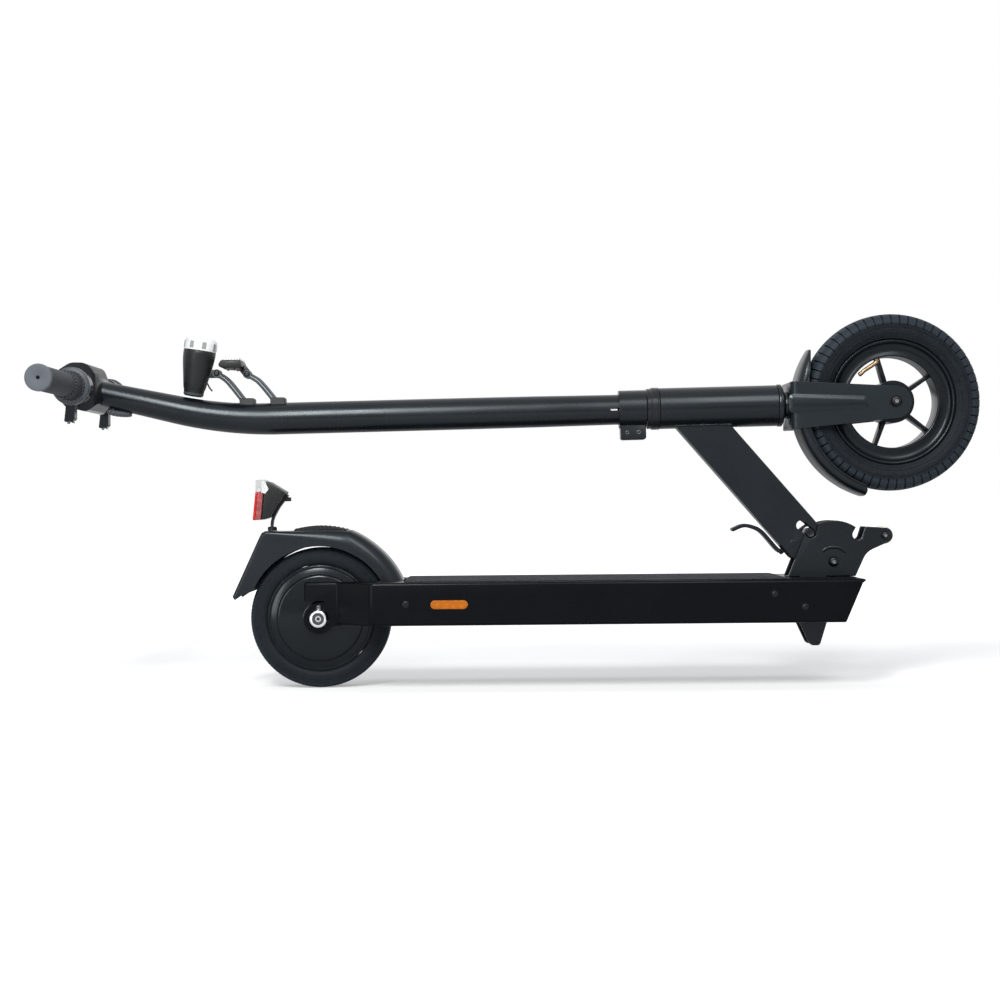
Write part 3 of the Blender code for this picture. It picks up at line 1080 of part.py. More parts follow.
def make_rear_fender():
    hub = (-FENDER_PIVOT[0], REAR_WHEEL_RADIUS - FENDER_PIVOT[1])

    def at(points):
        return moved(points, FENDER_PIVOT)

    def near_corner(points):
        return [(FENDER_CORNER[0] + p[0], FENDER_CORNER[1] + p[1], *p[2:]) for p in points]

    def top_edge(first, second):
        far = all(hypot(v.x - hub[0], v.y - hub[1]) > FENDER_SKIRT_RADIUS + 0.008 for v in (first, second))
        return on_flat_side(first, second) and far and max(first.y, second.y) > 0.0135

    top_left, tail_top, tail_tip = near_corner([(0.0415, -0.0042), (0.0352, -0.0106), (0.0045, -0.0770)])
    top_right = (FENDER_RADIUS - 0.0671, REAR_WHEEL_RADIUS + FENDER_RADIUS - 0.0061)
    outline = arc((0, 0), 0.0080, 200, 360, 6)
    outline += arc(hub, FENDER_RADIUS, 19, 70, 9)
    tail = near_corner([(0.0075, -0.0812, 0.001), (0.0160, -0.0754, 0.004), (0.0298, -0.0705)])
    outline += rounded(at([top_right, (*top_left, 0.003), (*tail_top, 0.003), (*tail_tip, 0.001),
                           *tail]), 3)[1:]
    outline += arc(hub, FENDER_SKIRT_RADIUS, 154, 28, 12)
    shell = plate("rear_fender", outline, -FENDER_HALF_WIDTH, FENDER_HALF_WIDTH, BLACK_PAINT, FENDER)
    soften_marked(shell, 0.0045, 3, top_edge)
    wall = FENDER_WALL
    inner = arc(hub, FENDER_RADIUS - wall, 8, 70, 9)
    inner += at([(top_left[0] + 0.002, top_left[1] - wall), (tail_top[0] + wall + 0.0005, tail_top[1] - wall),
                 (tail_tip[0] + wall, tail_tip[1]), (tail_tip[0] - 0.008, tail_tip[1] - 0.030)])
    inner += at([(0.0400, 0.0500), (0.1150, 0.0700)])
    half_inside = FENDER_HALF_WIDTH - wall
    hollow = plate("fender_hollow_cutter", inner, -half_inside, half_inside, None, FENDER)
    cut(shell, hollow)
    half_sleeve = FENDER_HALF_WIDTH - 0.0004
    sleeve = rod("fender_sleeve", 0.0062, -half_sleeve, half_sleeve, None, FENDER)
    join(shell, sleeve)
    cut(shell, rod("fender_sleeve_bore", FENDER_BOLT_RADIUS + RUN_GAP, -0.05, 0.05, None, FENDER, steps=20))
    head = DECK_HALF_WIDTH + SEAT_GAP
    turned("fender_pivot_bolt", [
        (0, head + 0.0022), (0.0040, head + 0.0022), (0.0052, head), (FENDER_BOLT_RADIUS, head),
        (FENDER_BOLT_RADIUS, -head), (0.0052, -head), (0.0040, -head - 0.0022), (0, -head - 0.0022)],
        DARK_STEEL, SCOOTER, origin=(FENDER_PIVOT[0], 0, FENDER_PIVOT[1]), steps=16)

    def top_line(x, lift):
        share = (x - top_left[0]) / (top_right[0] - top_left[0])
        return top_left[1] + share * (top_right[1] - top_left[1]) + lift

    teeth = 12
    left, right = -0.0290, 0.0310
    pad = [(left, top_line(left, SEAT_GAP)), (left, top_line(left, 0.0015))]
    for k in range(teeth):
        for share, lift in ((0.15, 0.0), (0.30, 0.0009), (0.70, 0.0009), (0.85, 0.0)):
            x = left + (right - left) * (k + share) / teeth
            crown = 1 - ((x - (left + right) / 2) / ((right - left) / 2)) ** 2
            pad.append((x, top_line(x, 0.0018 + 0.0042 * crown + lift)))
    pad += [(right, top_line(right, 0.0015)), (right, top_line(right, SEAT_GAP))]
    plate("step_pad", at(pad), -0.0190, 0.0190, RUBBER, FENDER)
    ceiling = [(0.0270, top_line(0.0270, -wall - SEAT_GAP)), (-0.0290, top_line(-0.0290, -wall - SEAT_GAP))]
    shoe = at(ceiling) + arc(hub, BRAKE_SHOE_RADIUS, 110, 71, 6)
    plate("brake_shoe", shoe, -0.0165, 0.0165, RUBBER, FENDER)
    make_tail_light(at, near_corner, top_line)


def make_tail_light(at, near_corner, top_line):
    foot_x = FENDER_CORNER[0] + 0.0464
    foot = at([(foot_x, top_line(foot_x, SEAT_GAP))])[0]
    stalk = turned("taillight_stalk", [
        (0, 0.0046), (0.0042, 0.0046), (0.0054, 0.0034), (0.0054, 0), (0, 0)], BLACK_PAINT, FENDER, "Z",
        origin=(foot[0], 0, foot[1]), steps=16)
    thickness = 0.0028
    path = smooth_path([(foot[0] - 0.0004, foot[1] + 0.002), *at(near_corner([
        (0.0467, 0.0070), (0.0496, 0.0145), (0.0550, 0.0238), (0.0610, 0.0316), (0.0644, 0.0366)]))], 2)
    strip = plate("stalk_strip", band(path, thickness), -0.0045, 0.0045, None, FENDER)
    top = at(near_corner([(0.0608, 0.0314)]))[0]
    bolt = rod("stalk_bolt", 0.0023, top[0], top[0] + 0.0072, None, FENDER, "X",
               origin=(0, 0, top[1]), steps=10)
    join(stalk, strip, bolt)
    back = band(path, thickness + 2 * SEAT_GAP)[:len(path)]
    rise = FENDER_CORNER[1] - FENDER_PIVOT[1]
    back = [p for p in back if 0.0095 < p[1] - rise < 0.0355]
    upper = at(near_corner([(0.0410, 0.0535, 0.003), (0.0632, 0.0396, 0.0012)]))
    outline = rounded(upper + back[::-1] + at(near_corner([(0.0365, 0.0086)])))
    housing = plate("taillight_housing", outline, -0.0190, 0.0190, PLASTIC, FENDER)
    soften_marked(housing, 0.002, 2, on_flat_side)
    lens_outline = at(near_corner([
        (0.0405 - SEAT_GAP, 0.0540, 0.002), (0.0314, 0.0538, 0.003), (0.0298, 0.0400),
        (0.0265, 0.0080, 0.002), (0.0360 - SEAT_GAP, 0.0083)]))
    lens = plate("taillight_lens", rounded(lens_outline), -0.0185, 0.0185, RED, FENDER)
    soften_marked(lens, 0.0015, 2, on_flat_side)


make_deck_frame()
make_deck_fittings()
make_cheeks()
make_neck()
make_lock()
make_fork()
make_front_fender()
make_stem()
make_handlebar()
make_thumb_lever("throttle_lever", -1)
make_thumb_lever("brake_lever", 1)
make_cockpit()
make_lights()
make_front_wheel()
make_rear_wheel()
make_rear_fender()
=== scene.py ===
"""Dresses a folded electric kick scooter with finer pieces and finishes, and sets up its studio.

Metres, +Z up. X runs from the handlebar to the front wheel as the scooter lies folded, and the
rider's right side faces -Y.
"""

import json
from math import atan2, cos, hypot, pi, radians, sin, tan

import bmesh
import bpy
from bpy.props import FloatProperty, FloatVectorProperty, IntProperty, PointerProperty
from mathutils import Matrix, Vector


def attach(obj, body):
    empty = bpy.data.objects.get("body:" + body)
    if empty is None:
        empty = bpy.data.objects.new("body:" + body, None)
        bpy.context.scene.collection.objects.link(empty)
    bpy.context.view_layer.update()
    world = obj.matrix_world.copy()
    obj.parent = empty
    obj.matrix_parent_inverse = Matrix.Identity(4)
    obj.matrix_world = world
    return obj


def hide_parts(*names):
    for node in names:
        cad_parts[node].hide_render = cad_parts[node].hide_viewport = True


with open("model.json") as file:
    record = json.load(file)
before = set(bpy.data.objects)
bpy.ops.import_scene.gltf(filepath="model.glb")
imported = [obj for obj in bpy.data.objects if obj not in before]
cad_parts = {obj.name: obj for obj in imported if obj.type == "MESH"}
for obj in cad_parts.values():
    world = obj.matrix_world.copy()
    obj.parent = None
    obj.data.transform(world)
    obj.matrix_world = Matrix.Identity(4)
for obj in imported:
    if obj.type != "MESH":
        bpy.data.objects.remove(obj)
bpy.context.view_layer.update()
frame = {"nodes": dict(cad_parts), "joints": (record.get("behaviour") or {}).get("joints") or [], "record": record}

bl_info = {
    "name": "Folding Kick Scooter",
    "version": (1, 0, 0),
    "blender": (4, 5, 0),
    "location": "3D View > Sidebar > Scooter",
    "description": "Detailed pieces, finishes and studio for a folded electric kick scooter",
    "category": "Add Mesh",
}

BODY_OF = {node: body for body, nodes in frame["record"]["behaviour"]["bodies"].items() for node in nodes}


def axis_of(joint):
    return Vector(next(j for j in frame["joints"] if j["name"] == joint)["pos_m"])


STEER_TILT = radians(1.0)
BAR_PLACE = axis_of("throttle_press")
WHEEL_PLACE = axis_of("front_wheel_spin")
REAR_PLACE = axis_of("rear_wheel_spin")
TILTED = Matrix.Rotation(-STEER_TILT, 4, "Y")

# The frames that pieces are drawn in: GROUND is under the rear axle, and the others are on an axis
GROUND = Matrix.Translation((REAR_PLACE.x, 0, 0))
REAR = Matrix.Translation(REAR_PLACE)
HINGE = Matrix.Translation(axis_of("fold"))
ROLLER = Matrix.Translation(axis_of("roller_spin"))
LEVER = Matrix.Translation(axis_of("release"))
FENDER = Matrix.Translation(axis_of("fender_brake"))
STEER = Matrix.Translation(WHEEL_PLACE) @ TILTED
BAR = Matrix.Translation(BAR_PLACE) @ TILTED
LIGHT = Matrix.Translation(axis_of("headlight_tilt")) @ TILTED
GLINT = Matrix.Translation(axis_of("reflector_tilt")) @ TILTED

SIDES = (("right", -1), ("left", 1))
PAINT = "satin_black_paint"
DECK_PAINT = "deck_black_paint"
RIM_PAINT = "rim_black_paint"
GLOSS = "gloss_black_plastic"
SCREW = "black_screw"


# Sizes and colours that a user would change

class ScooterSizes(bpy.types.PropertyGroup):
    tread_blocks: IntProperty(
        name="Tread blocks", description="Shoulder blocks round the front tyre", default=60, min=12)
    tread_depth: FloatProperty(
        name="Tread depth", description="Depth of the gaps between the blocks",
        default=0.0026, unit="LENGTH")
    edge_round: FloatProperty(
        name="Edge rounding", description="Rounding of the plates' edges", default=0.0005, unit="LENGTH")
    screw_radius: FloatProperty(
        name="Deck screws", description="Head radius of the deck's side screws",
        default=0.0038, unit="LENGTH")
    lens_bars: IntProperty(
        name="Headlight bars", description="Dark bars round the headlight's cap", default=8, min=1)


class ScooterColours(bpy.types.PropertyGroup):
    paint: FloatVectorProperty(
        name="Frame paint", description="Satin paint of the neck, stem and fork", subtype="COLOR",
        default=(0.0035, 0.0050, 0.0072))
    deck: FloatVectorProperty(
        name="Deck paint", description="Gloss paint of the deck", subtype="COLOR",
        default=(0.0022, 0.0026, 0.0038))
    tyre: FloatVectorProperty(
        name="Tyre rubber", description="Rubber of the tyres", subtype="COLOR",
        default=(0.0046, 0.0062, 0.0080))
    plastic: FloatVectorProperty(
        name="Plastic", description="Moulded plastic of the controls", subtype="COLOR",
        default=(0.011, 0.0115, 0.012))
    amber: FloatVectorProperty(
        name="Side reflectors", description="Amber of the side reflectors", subtype="COLOR",
        default=(0.46, 0.125, 0.006))
    red: FloatVectorProperty(
        name="Tail light", description="Red of the tail light", subtype="COLOR",
        default=(0.62, 0.018, 0.02))


class ScooterStudio(bpy.types.PropertyGroup):
    camera_place: FloatVectorProperty(
        name="Camera place", description="Where the camera stands", subtype="TRANSLATION",
        default=(-0.0256, -2.0, 0.2095))
    camera_lens: FloatProperty(
        name="Focal length", description="Lens on a 36 mm sensor", default=63.4, unit="CAMERA")
    camera_roll: FloatProperty(
        name="Roll", description="Turn of the camera about its view", default=radians(-0.5),
        subtype="ANGLE")
    lamp_power: FloatProperty(
        name="Lamp power", description="Power of the main soft lamp", default=42.0, unit="POWER")


# Finishes

class Graph:
    """A node material that grows round its Principled shader."""

    def __init__(self, name, base, roughness, metallic=0.0):
        self.material = bpy.data.materials.new(name)
        self.material.use_nodes = True
        self.tree = self.material.node_tree
        self.shader = self.tree.nodes["Principled BSDF"]
        self.shader.inputs["Base Color"].default_value = (*base, 1.0)
        self.shader.inputs["Roughness"].default_value = roughness
        self.shader.inputs["Metallic"].default_value = metallic

    def node(self, kind, inputs=None, **settings):
        """Adds a node, with inputs that are links from other sockets or constants."""
        made = self.tree.nodes.new("ShaderNode" + kind)
        for key, value in settings.items():
            setattr(made, key, value)
        for key, value in (inputs or {}).items():
            if isinstance(value, bpy.types.NodeSocket):
                self.tree.links.new(value, made.inputs[key])
            else:
                made.inputs[key].default_value = value
        return made

    def coordinates(self, centre=(0, 0, 0), scale=(1, 1, 1), turn=(0, 0, 0)):
        place = self.node("TexCoord").outputs["Object"]
        moved = self.node("Mapping", {"Vector": place, "Location": [-c for c in centre]}).outputs[0]
        return self.node("Mapping", {"Vector": moved, "Rotation": turn, "Scale": scale}).outputs[0]

    def noise(self, where, scale, detail=4.0, roughness=0.5):
        made = self.node("TexNoise", {"Vector": where, "Scale": scale, "Detail": detail,
                                      "Roughness": roughness})
        return made.outputs["Fac"]

    def spread(self, value, low, high, out_low=0.0, out_high=1.0):
        made = self.node("MapRange", {"Value": value, "From Min": low, "From Max": high,
                                      "To Min": out_low, "To Max": out_high})
        return made.outputs["Result"]

    def maths(self, operation, first, second=0.0):
        return self.node("Math", {0: first, 1: second}, operation=operation).outputs[0]

    def mixed(self, factor, *colours):
        first, second = [c if isinstance(c, bpy.types.NodeSocket) else (*c[:3], 1.0) for c in colours]
        return self.node("Mix", {0: factor, 6: first, 7: second}, data_type="RGBA").outputs[2]

    def edges(self, radius, where):
        """Bright where a corner is, broken up by a noise, for paint worn thin and polished metal; on paint it is
        partly a painted highlight along the edges.
        """
        soft = self.node("Bevel", {"Radius": radius}, samples=4).outputs[0]
        true = self.node("NewGeometry").outputs["Normal"]
        flat = self.node("VectorMath", {0: soft, 1: true}, operation="DOT_PRODUCT").outputs["Value"]
        corner = self.spread(flat, 0.995, 0.90)
        return self.maths("MULTIPLY", corner, self.spread(self.noise(where, 90.0), 0.42, 0.62, 0.25, 1.0))

    def bump(self, *layers):
        """Adds layers of height, each with its distance in metres and its strength."""
        normal = None
        for height, distance, strength in layers:
            inputs = {"Height": height, "Distance": distance, "Strength": strength}
            if normal is not None:
                inputs["Normal"] = normal
            normal = self.node("Bump", inputs).outputs[0]
        self.tree.links.new(normal, self.shader.inputs["Normal"])

    def feed(self, **sockets):
        """Links outputs to the shader's sockets."""
        names = {"colour": "Base Color", "roughness": "Roughness"}
        for key, value in sockets.items():
            self.tree.links.new(value, self.shader.inputs[names[key]])

    def set(self, **sockets):
        """Gives the shader's sockets constants."""
        names = {"specular": "Specular IOR Level", "tint": "Specular Tint", "coat": "Coat Weight",
                 "coat_roughness": "Coat Roughness", "scatter": "Subsurface Weight",
                 "scatter_scale": "Subsurface Scale"}
        for key, value in sockets.items():
            self.shader.inputs[names[key]].default_value = value


def shade(colour, amount):
    return [min(1.0, c * amount) for c in colour[:3]]


def painted(name, base, roughness, specular, edge_wear_and_highlight, grain=0.00002):
    """Sprayed paint: slow colour and gloss drift, orange peel, and lighter, duller corners, partly worn paint and
    partly a painted edge highlight.
    """
    g = Graph(name, base, roughness)
    where = g.coordinates()
    drift = g.noise(where, 14.0, 3.0)
    speck = g.noise(where, 900.0, 2.0)
    body = g.mixed(g.spread(drift, 0.35, 0.65), shade(base, 0.88), shade(base, 1.12))
    # The corners' lighter colour is paint worn thin and also a painted highlight along the edges
    worn = g.edges(0.0007, where)
    g.feed(colour=g.mixed(g.maths("MULTIPLY", worn, edge_wear_and_highlight), body, [0.02 + 5.0 * c for c in base]))
    g.feed(roughness=g.maths("ADD", g.spread(drift, 0.3, 0.7, roughness - 0.04, roughness + 0.05),
                             g.maths("MULTIPLY", worn, 0.06)))
    g.bump((g.noise(where, 260.0, 2.0), 0.0001, 0.05), (speck, grain, 0.2))
    g.set(specular=specular, tint=(0.86, 0.95, 1.0, 1.0))
    return g.material


def moulded(name, base, roughness, grain, specular=0.4):
    """Moulded plastic with a fine spark-eroded grain."""
    g = Graph(name, base, roughness)
    where = g.coordinates()
    pores = g.node("TexVoronoi", {"Vector": where, "Scale": 1400.0}).outputs["Distance"]
    drift = g.noise(where, 30.0)
    worn = g.edges(0.0006, where)
    body = g.mixed(g.spread(drift, 0.3, 0.7), shade(base, 0.9), shade(base, 1.12))
    g.feed(colour=g.mixed(g.maths("MULTIPLY", worn, 0.35), body, shade(base, 2.6)))
    g.feed(roughness=g.spread(drift, 0.3, 0.7, roughness - 0.05, roughness + 0.05))
    g.bump((pores, 0.00008, grain), (g.noise(where, 120.0), 0.0001, 0.03))
    g.set(specular=specular)
    return g.material


def rubbery(name, base, roughness, centre, shoulder, dust=1.0):
    """Tyre rubber round a wheel's centre: mould rings on the wall, dust in patches and specks, and a lighter tread
    beyond the shoulder.
    """
    g = Graph(name, base, roughness)
    where = g.coordinates(centre)
    rings = g.node("TexWave", {"Vector": where, "Scale": 160.0, "Distortion": 0.4},
                   wave_type="RINGS", rings_direction="Y").outputs["Fac"]
    cloud = g.noise(where, 45.0, 6.0, 0.6)
    fine = g.noise(where, 1600.0, 3.0)
    flat = g.coordinates(centre, (1, 0, 1))
    reach = g.node("VectorMath", {0: flat}, operation="LENGTH").outputs["Value"]
    body = g.mixed(g.spread(cloud, 0.35, 0.7), base, shade(base, 1.0 + 0.7 * dust))
    body = g.mixed(g.spread(reach, shoulder, shoulder + 0.003, 0.0, 0.85), body, shade(base, 4.6))
    g.feed(colour=g.mixed(g.spread(fine, 0.5, 0.75), body, shade(base, 3.0 + 2.5 * dust)))
    g.feed(roughness=g.spread(cloud, 0.3, 0.7, roughness - 0.08, roughness + 0.06))
    g.bump((rings, 0.00015, 0.3), (fine, 0.00012, 0.35), (cloud, 0.0003, 0.08))
    g.set(specular=0.11)
    return g.material


def gripped(name, base):
    """Grip rubber with a cut diamond knurl round the handlebar's axis, with painted shade in its valleys and a
    painted highlight on its peaks.
    """
    g = Graph(name, base, 0.62)
    where = g.coordinates(BAR_PLACE)
    parts = g.node("SeparateXYZ", {"Vector": where}).outputs
    turn = g.maths("MULTIPLY", g.maths("ARCTAN2", parts["Z"], parts["X"]), 12.0)
    along = g.maths("MULTIPLY", parts["Y"], 430.0)
    first = g.maths("SINE", g.maths("ADD", turn, along))
    second = g.maths("SINE", g.maths("SUBTRACT", turn, along))
    peaks = g.maths("MULTIPLY", g.maths("ABSOLUTE", first), g.maths("ABSOLUTE", second))
    fine = g.noise(where, 1300.0)
    # painted shade in the knurl's valleys and a painted highlight on its peaks
    g.feed(colour=g.mixed(g.spread(peaks, 0.2, 0.8), shade(base, 0.35), shade(base, 5.0)))
    g.feed(roughness=g.spread(fine, 0.3, 0.7, 0.55, 0.72))
    g.bump((peaks, 0.0006, 0.8), (fine, 0.0001, 0.15))
    g.set(specular=0.3)
    return g.material


def metal(name, base, roughness):
    """Metal with fine drawing lines, finger dulling and bright edges."""
    g = Graph(name, base, roughness, 1.0)
    where = g.coordinates()
    lines = g.noise(where, 700.0, 3.0)
    dull = g.noise(where, 60.0, 5.0, 0.6)
    worn = g.edges(0.0005, where)
    body = g.mixed(g.spread(dull, 0.35, 0.7), base, shade(base, 0.825))
    g.feed(colour=g.mixed(g.maths("MULTIPLY", worn, 0.7), body, shade(base, 1.35)))
    g.feed(roughness=g.spread(dull, 0.3, 0.7, roughness - 0.06, roughness + 0.1))
    g.bump((lines, 0.00005, 0.25))
    return g.material


def gritty(name, base):
    """Grip tape: hard grains in a matt binder."""
    g = Graph(name, base, 0.9)
    where = g.coordinates()
    grains = g.node("TexVoronoi", {"Vector": where, "Scale": 1500.0}).outputs["Distance"]
    bright = g.spread(g.noise(where, 1900.0, 2.0), 0.58, 0.72)
    worn = g.spread(g.noise(where, 12.0), 0.45, 0.7)
    body = g.mixed(worn, base, shade(base, 1.5))
    g.feed(colour=g.mixed(bright, body, shade(base, 5.0)))
    g.set(specular=0.08)
    g.bump((grains, 0.0005, 0.9), (g.noise(where, 3000.0), 0.0002, 0.4))
    return g.material


def prismatic(name, base, glow, facets=420.0, gloss=0.12):
    """A reflector's lens: clear gloss over a grid of small prisms, each with a painted highlight in its middle and
    painted shade at its edges.
    """
    g = Graph(name, base, 0.12)
    where = g.coordinates(turn=(0, radians(45), 0))
    cells = g.node("TexVoronoi", {"Vector": where, "Scale": facets, "Randomness": 0.0},
                   distance="CHEBYCHEV").outputs
    # glow sets the painted highlight in the middle of each prism; its edges get painted shade
    prism_light_and_shade = g.spread(cells["Distance"], 0.1, 0.55)
    pale = g.noise(g.coordinates(), 220.0, 2.0)
    body = g.mixed(prism_light_and_shade, shade(base, 1.0 + glow), shade(base, 0.45))
    g.feed(colour=g.mixed(g.spread(pale, 0.5, 0.8, 0.0, 0.45), body, shade(base, 1.9)))
    g.feed(roughness=g.spread(pale, 0.3, 0.7, 0.08, 0.2))
    g.bump((cells["Distance"], 0.0006, 0.5))
    g.set(coat=gloss, coat_roughness=0.05, specular=gloss)
    return g.material


def waxy(name, base):
    """Pale nylon that light goes a little way into."""
    g = Graph(name, base, 0.38)
    where = g.coordinates()
    scuff = g.noise(where, 160.0, 5.0)
    g.feed(colour=g.mixed(g.spread(scuff, 0.5, 0.75), base, shade(base, 0.72)))
    g.feed(roughness=g.spread(scuff, 0.3, 0.7, 0.3, 0.5))
    g.bump((g.noise(where, 700.0), 0.00008, 0.15))
    g.set(scatter=0.5, scatter_scale=0.003, specular=0.5)
    return g.material


def look(name):
    """The finish of a name, made the first time that a piece asks for it."""
    found = bpy.data.materials.get(name + "_finish")
    if found:
        return found
    hue = bpy.context.scene.scooter_colours
    maker, *values = {
        PAINT: (painted, hue.paint, 0.27, 0.33, 0.45),
        "fork_black_paint": (painted, shade(hue.paint, 1.6), 0.27, 0.34, 0.45),
        "cover_black_paint": (painted, shade(hue.paint, 0.8), 0.17, 0.26, 0.6),
        DECK_PAINT: (painted, shade(hue.deck, 0.7), 0.27, 0.10, 0.12),
        "tyre_rubber": (rubbery, hue.tyre, 0.55, WHEEL_PLACE, 0.0868),
        "rear_tyre_rubber": (rubbery, shade(hue.tyre, 0.9), 0.58, REAR_PLACE, 0.0715, 1.4),
        RIM_PAINT: (painted, shade(hue.paint, 0.8), 0.24, 0.24, 0.5),
        "black_rubber": (moulded, shade(hue.plastic, 1.6), 0.7, 0.5, 0.2),
        "black_plastic": (moulded, hue.plastic, 0.36, 0.3, 0.25),
        "control_plastic": (moulded, (0.050, 0.058, 0.068), 0.42, 0.3, 0.3),
        "cap_rubber": (moulded, (0.085, 0.096, 0.110), 0.6, 0.3, 0.3),
        "grey_plastic": (moulded, (0.40, 0.42, 0.42), 0.4, 0.25),
        "strap_plastic": (moulded, (0.036, 0.039, 0.038), 0.45, 0.3, 0.25),
        "bar_plastic": (moulded, (0.26, 0.275, 0.27), 0.4, 0.2),
        GLOSS: (painted, (0.012, 0.013, 0.015), 0.2, 0.22, 0.3, 0.00001),
        "grip_rubber": (gripped, (0.0110, 0.0132, 0.0165)),
        "bright_steel": (metal, (0.76, 0.78, 0.80), 0.24),
        "dark_steel": (metal, (0.10, 0.10, 0.11), 0.34),
        "socket_steel": (metal, (0.30, 0.31, 0.32), 0.3),
        SCREW: (metal, (0.030, 0.031, 0.034), 0.32),
        "brass": (metal, (0.36, 0.25, 0.14), 0.34),
        "chrome": (metal, (0.86, 0.87, 0.88), 0.1),
        "grip_tape": (gritty, (0.040, 0.041, 0.045)),
        "amber_reflector": (prismatic, hue.amber, 0.35),
        "red_lens": (prismatic, hue.red, 0.3, 520.0),
        "pink_lens": (prismatic, (0.44, 0.11, 0.11), 0.2, 520.0),
        "white_lens": (prismatic, (0.84, 0.84, 0.84), 0.1, 460.0, 0.5),
        "white_cap": (moulded, (0.76, 0.77, 0.77), 0.3, 0.1, 0.4),
        "pale_nylon": (waxy, (0.80, 0.83, 0.70)),
        "battery_wrap": (moulded, (0.03, 0.08, 0.22), 0.4, 0.1),
    }[name]
    return maker(name + "_finish", *values)


# Outlines

def arc(centre, radius, start, end, steps):
    """Points on an arc, angles in degrees."""
    found = []
    for k in range(steps + 1):
        turn = radians(start + (end - start) * k / steps)
        found.append((centre[0] + radius * cos(turn), centre[1] + radius * sin(turn)))
    return found


def rounded(points, steps=6):
    """A closed outline whose (x, z, radius) corners are rounded."""
    found = []
    for k, (x, z, radius) in enumerate(points):
        here = Vector((x, z))
        back = (Vector(points[k - 1][:2]) - here).normalized()
        ahead = (Vector(points[(k + 1) % len(points)][:2]) - here).normalized()
        half = back.angle(ahead) / 2
        middle = here + (back + ahead).normalized() * radius / sin(half)
        first, last = here + back * radius / tan(half) - middle, here + ahead * radius / tan(half) - middle
        for i in range(steps + 1):
            spoke = first.lerp(last, i / steps).normalized() * radius
            found.append(tuple(middle + spoke))
    return found


def beside(line, shift):
    """A 2D line moved sideways."""
    found = []
    for k, (x, z) in enumerate(line):
        ahead = (Vector(line[min(k + 1, len(line) - 1)]) - Vector(line[max(k - 1, 0)])).normalized()
        found.append((x + ahead.y * shift, z - ahead.x * shift))
    return found


def smooth(points, steps=4):
    """A smooth curve of 2D or 3D points through the ones given."""
    knots = [Vector(p) for p in points]
    knots = [2 * knots[0] - knots[1]] + knots + [2 * knots[-1] - knots[-2]]
    found = []
    for i in range(1, len(knots) - 2):
        a, b, c, d = knots[i - 1:i + 3]
        for k in range(steps):
            t = k / steps
            found.append(0.5 * (2 * b + (c - a) * t + (2 * a - 5 * b + 4 * c - d) * t ** 2
                                + (3 * b - a - 3 * c + d) * t ** 3))
    found.append(knots[-2])
    return [tuple(p) for p in found]


def mm(*values, face=0.0):
    """Points in metres from a row of millimetres, whose second ones are measured from a face."""
    return [(a / 1000, face + b / 1000) for a, b in zip(values[::2], values[1::2])]


def mirrored(half):
    """A wheel's profile from one half of it, from the bore round the outside to the other bore."""
    return list(half) + [(r, -a) for r, a in half[::-1] if a != 0]


def span(sign, near, far):
    """The lower and upper Y of a layer between two distances from the middle plane, on one side."""
    return sorted((sign * near, sign * far))


def facing(sign):
    """Leaves a shape that is drawn towards +Y as it is, or turns it towards -Y."""
    return Matrix() if sign > 0 else Matrix.Rotation(pi, 4, "X")


# Mesh work

AXES = {"X": Vector((1, 0, 0)), "Y": Vector((0, 1, 0)), "Z": Vector((0, 0, 1))}


